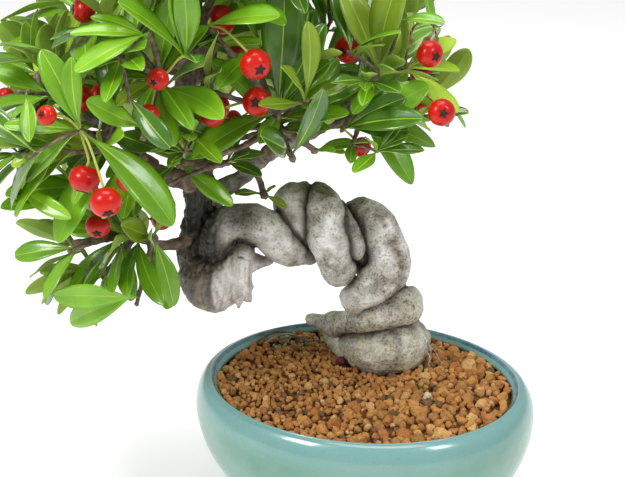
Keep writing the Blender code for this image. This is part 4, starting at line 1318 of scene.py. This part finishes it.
# What lies on the soil or hangs from the crown, in the tree's frame: a route and its radii
FIBRES = {
    "fallen_stalk": (1, [(-5.2, 8.2, 39.4), (-3, 7.2, 40.2), (0.5, 4.2, 40.6)], 0.2, 0.1),
    "root_hair_one": (2, [(17.6, 10, 45), (19, 8.6, 42.5), (18.4, 7.6, 40), (19.6, 7, 38.4)], 0.14, 0.07),
    "root_hair_two": (2, [(18.2, 11.5, 43), (20.2, 9.5, 41.6), (21.6, 9, 39), (23, 8.5, 38.2)], 0.12, 0.06),
    "root_hair_three": (2, [(18, 13, 42), (20.8, 13, 41), (22, 12.4, 38.6)], 0.12, 0.06),
    "root_hair_four": (2, [(17, 8, 43.6), (18.6, 6.4, 41.2), (18.2, 5.6, 39.4), (19.8, 4.6, 38)], 0.12, 0.06),
    "old_root_one": (4, [(-18, 25, 38.2), (-22, 27, 39.4), (-26, 27.4, 38.6), (-30, 26, 37)], 0.55, 0.3),
    "old_root_two": (4, [(-15, 22, 38.6), (-19, 23, 39.6), (-24, 24, 38.2)], 0.45, 0.25),
    "old_root_three": (2, [(-17, 24, 38.6), (-21, 24.6, 39.8), (-25, 24.4, 38.9), (-28, 23, 37.6)], 0.22,
                       0.12),
    "sprout_one": (3, [(15.4, -7, 38), (16.2, -7.4, 40), (17.2, -7.4, 41)], 0.28, 0.12),
    "sprout_two": (3, [(15.4, -7, 38), (14.8, -7.2, 39.6), (13.9, -7.4, 40.3)], 0.24, 0.1),
    "dried_shoot": (5, [(9.4, -4.2, 129), (10.2, -4, 135), (11.2, -4, 139.6), (13.6, -4.2, 141.8),
                        (16.2, -4.6, 141.2), (17.4, -5, 138.4)], 0.34, 0.2),
    "dried_spur": (5, [(16.2, -4.6, 141.2), (18, -5, 140.6), (19.2, -5.2, 141.4)], 0.2, 0.1),
}
DRIED_LEAVES = [((17.2, -5, 139), (16.6, -6.4, 132.2), 2.6), ((11.2, -4, 139.6), (9.6, -5.4, 134.8), 1.5),
                ((16.9, -5, 140), (13.9, -6, 136.2), 1.5)]

FALLEN_BERRY = (-6.2, 8.5, 39.1)
FALLEN_SIZE = (1.45, 1.35, 1.3)
# The finds' materials, in the order of their slots
FINDS = ["berry_fallen", "stalk_dry", "root_pale", "sprout_green", "root_old", "shoot_dried", "leaf_dried"]


def make_finds(materials):
    """A fallen berry, root hairs, a sprout, and a dried shoot at the right of the crown."""
    shape = Shape()
    draw = random.Random(SEEDS["finds"])
    points, faces = lump(draw, 3)
    shape.add(points * FALLEN_SIZE + FALLEN_BERRY, faces, FINDS.index("berry_fallen"))
    for slot, route, thick, thin in FIBRES.values():
        path = smooth_path(route, 6)
        shape.add(*knobbly(path, np.linspace(thick, thin, len(path)), TWIG_SIDES, draw, 0.3), slot)
    for base, tip, width in DRIED_LEAVES:
        base, tip = Vector(base), Vector(tip)
        run = tip - base
        face = Vector((0.5, -1, 0.2))
        face = (face - run * (face.dot(run) / run.length_squared)).normalized()
        points = leaf_points(Leaf(base, tip, face, width), draw)
        points += np.array([list(noise.noise_vector(Vector(point) * 0.7) * 0.5) for point in points])
        shape.add(points, LEAF_FACES, FINDS.index("leaf_dried"))
    shape.piece("small_finds", materials, TREE_FRAME, "leaves")


class Paint:
    """A material, with the few kinds of node that the materials here are made of."""

    def __init__(self, name, sockets):
        self.material = bpy.data.materials.new(name)
        self.material.use_nodes = True
        self.tree = self.material.node_tree
        self.shader = self.tree.nodes["Principled BSDF"]
        self.raised = None
        for socket, value in sockets.items():
            self.feed(self.shader.inputs[socket], value)

    def feed(self, socket, value):
        """Give a socket a link, a colour or a number."""
        if isinstance(value, bpy.types.NodeSocket):
            self.tree.links.new(value, socket)
        else:
            socket.default_value = (*value, 1) if socket.type == "RGBA" else value

    def node(self, kind, inputs, **settings):
        made = self.tree.nodes.new("ShaderNode" + kind)
        for name, value in settings.items():
            setattr(made, name, value)
        for name, value in inputs.items():
            self.feed(made.inputs[name], value)
        return made.outputs

    def noise(self, scale, detail, rough=0.6, stretch=None):
        """A noise in the piece's own coordinates."""
        place = self.node("TexCoord", {})["Object"]
        if stretch:
            place = self.node("Mapping", {"Vector": place, "Scale": stretch})["Vector"]
        inputs = {"Vector": place, "Scale": scale, "Detail": detail, "Roughness": rough}
        return self.node("TexNoise", inputs)["Fac"]

    def ramp(self, source, stops):
        """A value carried to colours, each a (place, colour)."""
        made = self.tree.nodes.new("ShaderNodeValToRGB")
        steps = made.color_ramp.elements
        steps[0].position, steps[1].position = stops[0][0], stops[-1][0]
        for place, _ in stops[1:-1]:
            steps.new(place)
        for step, (_, colour) in zip(steps, stops):
            step.color = (*colour, 1)
        self.feed(made.inputs["Fac"], source)
        return made.outputs["Color"]

    def spots(self, scale, detail, stops, stretch=None):
        return self.ramp(self.noise(scale, detail, stretch=stretch), stops)

    def mix(self, factor, one, two, blend="MIX"):
        """A mix of two colours, each a socket or a colour, by a socket or a number."""
        return self.node("Mix", {0: factor, 6: one, 7: two}, data_type="RGBA", blend_type=blend)[2]

    def mark(self, name, low=0.0, high=1.0, first=0.0, last=1.0):
        """One of the marks on the piece's points, carried from low..high to first..last."""
        return self.limited(self.node("Attribute", {}, attribute_name=name)["Fac"], low, high, first, last)

    def limited(self, source, low, high, first=0.0, last=1.0):
        """A value carried from low..high to first..last, and held within it."""
        return self.node("MapRange", {"Value": source, "From Min": low, "From Max": high, "To Min": first,
                                      "To Max": last}, clamp=True)["Result"]

    def times(self, one, two):
        return self.node("Math", {0: one, 1: two}, operation="MULTIPLY")["Value"]

    def bump(self, source, strength, depth):
        """Raise the surface by a value, on top of what raised it before."""
        inputs = {"Height": source, "Strength": strength, "Distance": depth}
        if self.raised:
            inputs["Normal"] = self.raised
        self.raised = self.node("Bump", inputs)["Normal"]
        self.feed(self.shader.inputs["Normal"], self.raised)

    def made(self, colour):
        """The material, once its colour is known."""
        self.feed(self.shader.inputs["Base Color"], colour)
        return self.material


WHITE = (1, 1, 1)
DARK_SPECK = (0.2, 0.18, 0.14)


def bark_paint():
    """Grey bark with dark flecks, mossy low down, brown on the knuckle, pale on the dead wood and dark young
    on the upright, with painted shade in the creases, between the coils and under the crown.
    """
    paint = Paint("bark_grey", {"Roughness": 0.5, "Specular IOR Level": 0.6})
    swirl = paint.noise(200, 5)
    colour = paint.ramp(swirl, [(0.33, (0.33, 0.305, 0.26)), (0.48, (0.64, 0.615, 0.56)),
                                (0.62, (0.90, 0.885, 0.85))])
    patches = paint.noise(75, 4)
    broad = paint.ramp(patches, [(0.38, (0.46, 0.42, 0.365)), (0.54, WHITE)])
    colour = paint.mix(1.0, colour, broad, "MULTIPLY")
    brown = paint.spots(300, 5, [(0.3, (0.055, 0.042, 0.03)), (0.7, (0.24, 0.19, 0.14))], (1, 1, 0.45))
    colour = paint.mix(paint.mark("brown"), colour, brown)
    moss = paint.spots(170, 5, [(0.42, (0.15, 0.15, 0.15)), (0.62, (0.9, 0.9, 0.9))])
    colour = paint.mix(paint.mix(paint.mark("moss"), (0, 0, 0), moss), colour, (0.60, 0.61, 0.31))
    colour = paint.mix(paint.mark("moss", last=0.4), colour, (0.84, 0.81, 0.70))
    # Dark smudges on the mossy bark low down, the bark's own colour
    smut_and_shade = paint.spots(130, 4, [(0.50, WHITE), (0.70, (0.34, 0.34, 0.32))], (1, 1, 0.5))
    colour = paint.mix(1.0, colour, paint.mix(paint.mark("moss"), WHITE, smut_and_shade), "MULTIPLY")
    pale = paint.spots(420, 4, [(0.36, (0.33, 0.29, 0.25)), (0.58, (0.80, 0.77, 0.73))], (1, 1, 0.2))
    colour = paint.mix(paint.mark("dead"), colour, pale)
    # Very dark: the young bark's own colour and painted shade under the crown
    young = paint.spots(420, 5, [(0.36, (0.010, 0.011, 0.005)), (0.6, (0.05, 0.054, 0.026)),
                                 (0.74, (0.22, 0.22, 0.16))], (1, 1, 0.5))
    colour = paint.mix(paint.mark("young"), colour, young)
    scar = paint.spots(800, 4, [(0.35, (0.16, 0.10, 0.06)), (0.65, (0.46, 0.38, 0.30))])
    colour = paint.mix(paint.mark("scar"), colour, scar)
    bare = paint.times(paint.mark("dead", 0.2, 1.0, 1.0, 0.3), paint.limited(patches, 0.4, 0.62, 0.9, 0.3))
    flecks = paint.noise(1400, 3)
    specks = paint.ramp(flecks, [(0.36, (0.2, 0.18, 0.15)), (0.48, WHITE)])
    colour = paint.mix(bare, colour, specks, "MULTIPLY")
    dashes = paint.spots(760, 3, [(0.34, (0.2, 0.17, 0.13)), (0.40, WHITE)], (1, 1, 2.0))
    colour = paint.mix(bare, colour, dashes, "MULTIPLY")
    lines = paint.spots(210, 5, [(0.455, WHITE), (0.49, DARK_SPECK), (0.51, DARK_SPECK), (0.545, WHITE)],
                        (1, 1, 1.5))
    colour = paint.mix(paint.mark("moss", 0.2, last=0.35), colour, lines, "MULTIPLY")
    colour = paint.mix(paint.mark("shade", 0.08, 0.95), colour, (0.23, 0.195, 0.155), "MULTIPLY")
    # Painted shade: near black in the creases
    colour = paint.mix(paint.mark("crease", 0.3, 0.95), colour, (0.03, 0.024, 0.018))
    paint.bump(flecks, 0.45, 0.0004)
    paint.bump(swirl, 0.5, 0.0006)
    return paint.made(colour)


def glaze_paint():
    """A mottled turquoise glaze, paler on the shoulder."""
    paint = Paint("celadon_glaze", {"Roughness": 0.22, "Coat Weight": 0.5, "Coat Roughness": 0.08})
    mottle = paint.noise(60, 5)
    place = paint.node("TexCoord", {})["Object"]
    height = paint.node("SeparateXYZ", {"Vector": place})["Z"]
    body = paint.ramp(mottle, [(0.3, (0.11, 0.275, 0.21)), (0.7, (0.175, 0.35, 0.28))])
    colour = paint.mix(paint.limited(height, 0.029, 0.0372), body, (0.18, 0.365, 0.355))
    flecks = paint.spots(1500, 3, [(0.30, (0.6, 0.66, 0.62)), (0.4, WHITE)])
    paint.bump(mottle, 0.04, 0.001)
    return paint.made(paint.mix(0.35, colour, flecks, "MULTIPLY"))


# Looks that several materials share: the shader's own settings, the scale and detail of the noise in
# their colour and the places of its colours, and the (scale, detail, roughness) of the noise that
# raises them, with how strongly and how far
Look = namedtuple("Look", "shader scale detail places fine raised")
LOOKS = {
    "leaf": Look({"Coat Roughness": 0.16, "Specular IOR Level": 0.35}, 110, 3, (0.3, 0.7),
                 (1100, 2, 0.5), (0.2, 0.0003)),
    "bark": Look({"Roughness": 0.75}, 480, 5, (0.3, 0.5, 0.72), (480, 5, 0.6), (0.6, 0.0005)),
    "clay": Look({"Roughness": 0.92, "Specular IOR Level": 0.2}, 900, 5, (0.3, 0.7),
                 (2400, 4, 0.5), (0.8, 0.0005)),
    "berry": Look({"Roughness": 0.32, "Specular IOR Level": 0.25, "Coat Weight": 0.25,
                   "Coat Roughness": 0.08}, 120, 2, (0.3, 0.7), (1200, 2, 0.5), (0.08, 0.0002)),
    "glaze": Look({"Roughness": 0.2, "Coat Weight": 0.5, "Coat Roughness": 0.08}, 300, 4, (0.35, 0.65),
                  None, None),
}
# The materials of each look: their colours from dark to light, and a leaf's roughness and coat
PAINTS = {
    "leaf": {
        "leaf_mid": ((0.105, 0.285, 0.004), (0.18, 0.41, 0.009), 0.34, 0.65),
        "leaf_bright": ((0.17, 0.42, 0.010), (0.25, 0.53, 0.016), 0.36, 0.6),
        "leaf_deep": ((0.042, 0.135, 0.006), (0.08, 0.21, 0.010), 0.28, 0.9),
        "leaf_young": ((0.30, 0.50, 0.016), (0.41, 0.60, 0.028), 0.4, 0.35),
        "leaf_olive": ((0.165, 0.275, 0.012), (0.25, 0.37, 0.025), 0.4, 0.5),
        "leaf_rib": ((0.29, 0.48, 0.04), (0.39, 0.57, 0.07), 0.45, 0.1),
        "leaf_under": ((0.25, 0.39, 0.05), (0.36, 0.50, 0.085), 0.6, 0.0),
        "stalk_green": ((0.32, 0.38, 0.05), (0.46, 0.50, 0.10), 0.5, 0.0),
        "calyx_dark": ((0.01, 0.006, 0.004), (0.04, 0.02, 0.012), 0.7, 0.0),
        "sprout_green": ((0.06, 0.16, 0.02), (0.12, 0.25, 0.04), 0.5, 0.0),
    },
    "bark": {
        "bark_brown": ((0.055, 0.038, 0.027), (0.16, 0.11, 0.075), (0.34, 0.27, 0.20)),
        "bark_young_grey": ((0.10, 0.09, 0.075), (0.24, 0.22, 0.185), (0.42, 0.39, 0.34)),
        "stalk_dry": ((0.08, 0.03, 0.025), (0.16, 0.06, 0.045), (0.24, 0.11, 0.08)),
        "root_pale": ((0.28, 0.27, 0.2), (0.45, 0.44, 0.34), (0.6, 0.58, 0.48)),
        "root_old": ((0.06, 0.045, 0.03), (0.16, 0.13, 0.09), (0.34, 0.31, 0.22)),
        "shoot_dried": ((0.06, 0.03, 0.018), (0.16, 0.085, 0.05), (0.3, 0.19, 0.12)),
        "leaf_dried": ((0.16, 0.085, 0.045), (0.36, 0.22, 0.12), (0.55, 0.4, 0.26)),
    },
    "clay": {
        # The soil's base: dark as painted shade in the gaps between the grains
        "clay_bed": ((0.12, 0.05, 0.018), (0.28, 0.125, 0.04)),
        "clay_orange": ((0.44, 0.195, 0.052), (0.64, 0.33, 0.105)),
        "clay_brown": ((0.34, 0.15, 0.046), (0.52, 0.255, 0.085)),
        "clay_ochre": ((0.54, 0.30, 0.105), (0.72, 0.45, 0.18)),
        "clay_dark": ((0.13, 0.072, 0.034), (0.27, 0.15, 0.065)),
        "clay_rust": ((0.37, 0.14, 0.04), (0.54, 0.23, 0.07)),
        "stone_pale": ((0.55, 0.43, 0.27), (0.75, 0.64, 0.45)),
        "lichen": ((0.28, 0.28, 0.14), (0.55, 0.55, 0.36)),
    },
    "berry": {
        "berry_red": ((0.40, 0.002, 0.0005), (0.60, 0.010, 0.001)),
        "berry_fallen": ((0.10, 0.012, 0.018), (0.22, 0.03, 0.045)),
    },
    "glaze": {"blue_glaze": ((0.045, 0.13, 0.18), (0.13, 0.30, 0.34))},
}


def simple_paint(name):
    """A material of one noise through its colours, as its look says."""
    kind = next(kind for kind, rows in PAINTS.items() if name in rows)
    look, row = LOOKS[kind], PAINTS[kind][name]
    count = len(look.places)
    paint = Paint(name, {**look.shader, **dict(zip(("Roughness", "Coat Weight"), row[count:]))})
    if look.fine:
        paint.bump(paint.noise(*look.fine), *look.raised)
    return paint.made(paint.spots(look.scale, look.detail, list(zip(look.places, row[:count]))))


def simple_paints(*names):
    """Materials by name, each made only once."""
    return [bpy.data.materials.get(name) or simple_paint(name) for name in names]


CAMERA_PLACE = (-14.2, -491.4, 288.0)
CAMERA_PITCH = math.radians(22.94)
CAMERA_PIXELS = 1988.0
PHOTO_WIDTH = 625
SENSOR_WIDTH = 36

# Soft boxes in the tree's frame: place, target, width and height in metres, and watts
SOFT_BOXES = {
    "softbox_left": ((-437, -328, 513), (-20, 0, 80), (0.2, 0.2), 2.6),
    "softbox_right": ((369, -387, 527), (-20, 0, 70), (0.16, 0.2), 1.4),
    "softbox_top": ((-20, 60, 700), (-20, 0, 100), (0.4, 0.4), 2.6),
}
WORLD_STRENGTH = 0.42
FLOOR_HALF = 6


def make_camera():
    """The camera that took the photo, fitted to the pot's rim."""
    lens = bpy.data.cameras.new("camera")
    lens.sensor_width = SENSOR_WIDTH
    lens.lens = CAMERA_PIXELS / PHOTO_WIDTH * SENSOR_WIDTH
    lens.clip_start = 0.01
    camera = link("camera", lens)
    camera.matrix_world = (Matrix.Rotation(FRONT_TURN, 4, "Z") @ Matrix.Translation(Vector(CAMERA_PLACE) * MM)
                           @ Matrix.Rotation(math.pi / 2 - CAMERA_PITCH, 4, "X"))
    bpy.context.scene.camera = camera


def make_light(name, place, target, size, energy):
    """A soft box that faces a target."""
    light = bpy.data.lights.new(name, "AREA")
    light.shape = "RECTANGLE"
    light.size, light.size_y = size
    light.energy = energy
    lamp = link(name, light)
    lamp.location = TREE_FRAME @ Vector(place)
    lamp.rotation_euler = (TREE_FRAME @ Vector(target) - lamp.location).to_track_quat("-Z", "Y").to_euler()


def make_stage():
    """A white floor in a white room, lit by the soft boxes."""
    shape = bmesh.new()
    bmesh.ops.create_grid(shape, x_segments=1, y_segments=1, size=FLOOR_HALF)
    mesh = bpy.data.meshes.new("floor")
    shape.to_mesh(mesh)
    shape.free()
    white = Paint("stage_white", {"Emission Color": WHITE, "Emission Strength": 0.2, "Roughness": 0.9,
                                  "Specular IOR Level": 0.1})
    mesh.materials.append(white.made((0.93, 0.93, 0.93)))
    link("floor", mesh)
    world = bpy.data.worlds.new("studio")
    bpy.context.scene.world = world
    world.use_nodes = True
    background = world.node_tree.nodes["Background"].inputs
    background["Color"].default_value = (*WHITE, 1)
    background["Strength"].default_value = WORLD_STRENGTH
    for name, settings in SOFT_BOXES.items():
        make_light(name, *settings)
    bpy.context.scene.view_settings.view_transform = "Standard"


def main():
    make_camera()
    make_stage()
    make_trunk([bark_paint()])
    make_boughs(simple_paints("bark_brown", "bark_young_grey"))
    plants = grow_crown()
    for name in LEAF_PIECES:
        make_leaves(name, plants, simple_paints(*GREENS, "leaf_rib", "leaf_under"))
    make_twigs(plants, simple_paints("bark_brown"))
    make_berries(plants, simple_paints("berry_red", "calyx_dark", "stalk_green"))
    make_finds(simple_paints(*FINDS))
    make_pot([glaze_paint(), *simple_paints("blue_glaze")])
    make_soil(simple_paints("clay_bed"))
    make_grains(simple_paints(*GRAIN_TINTS, *STRAY_TINTS))


main()
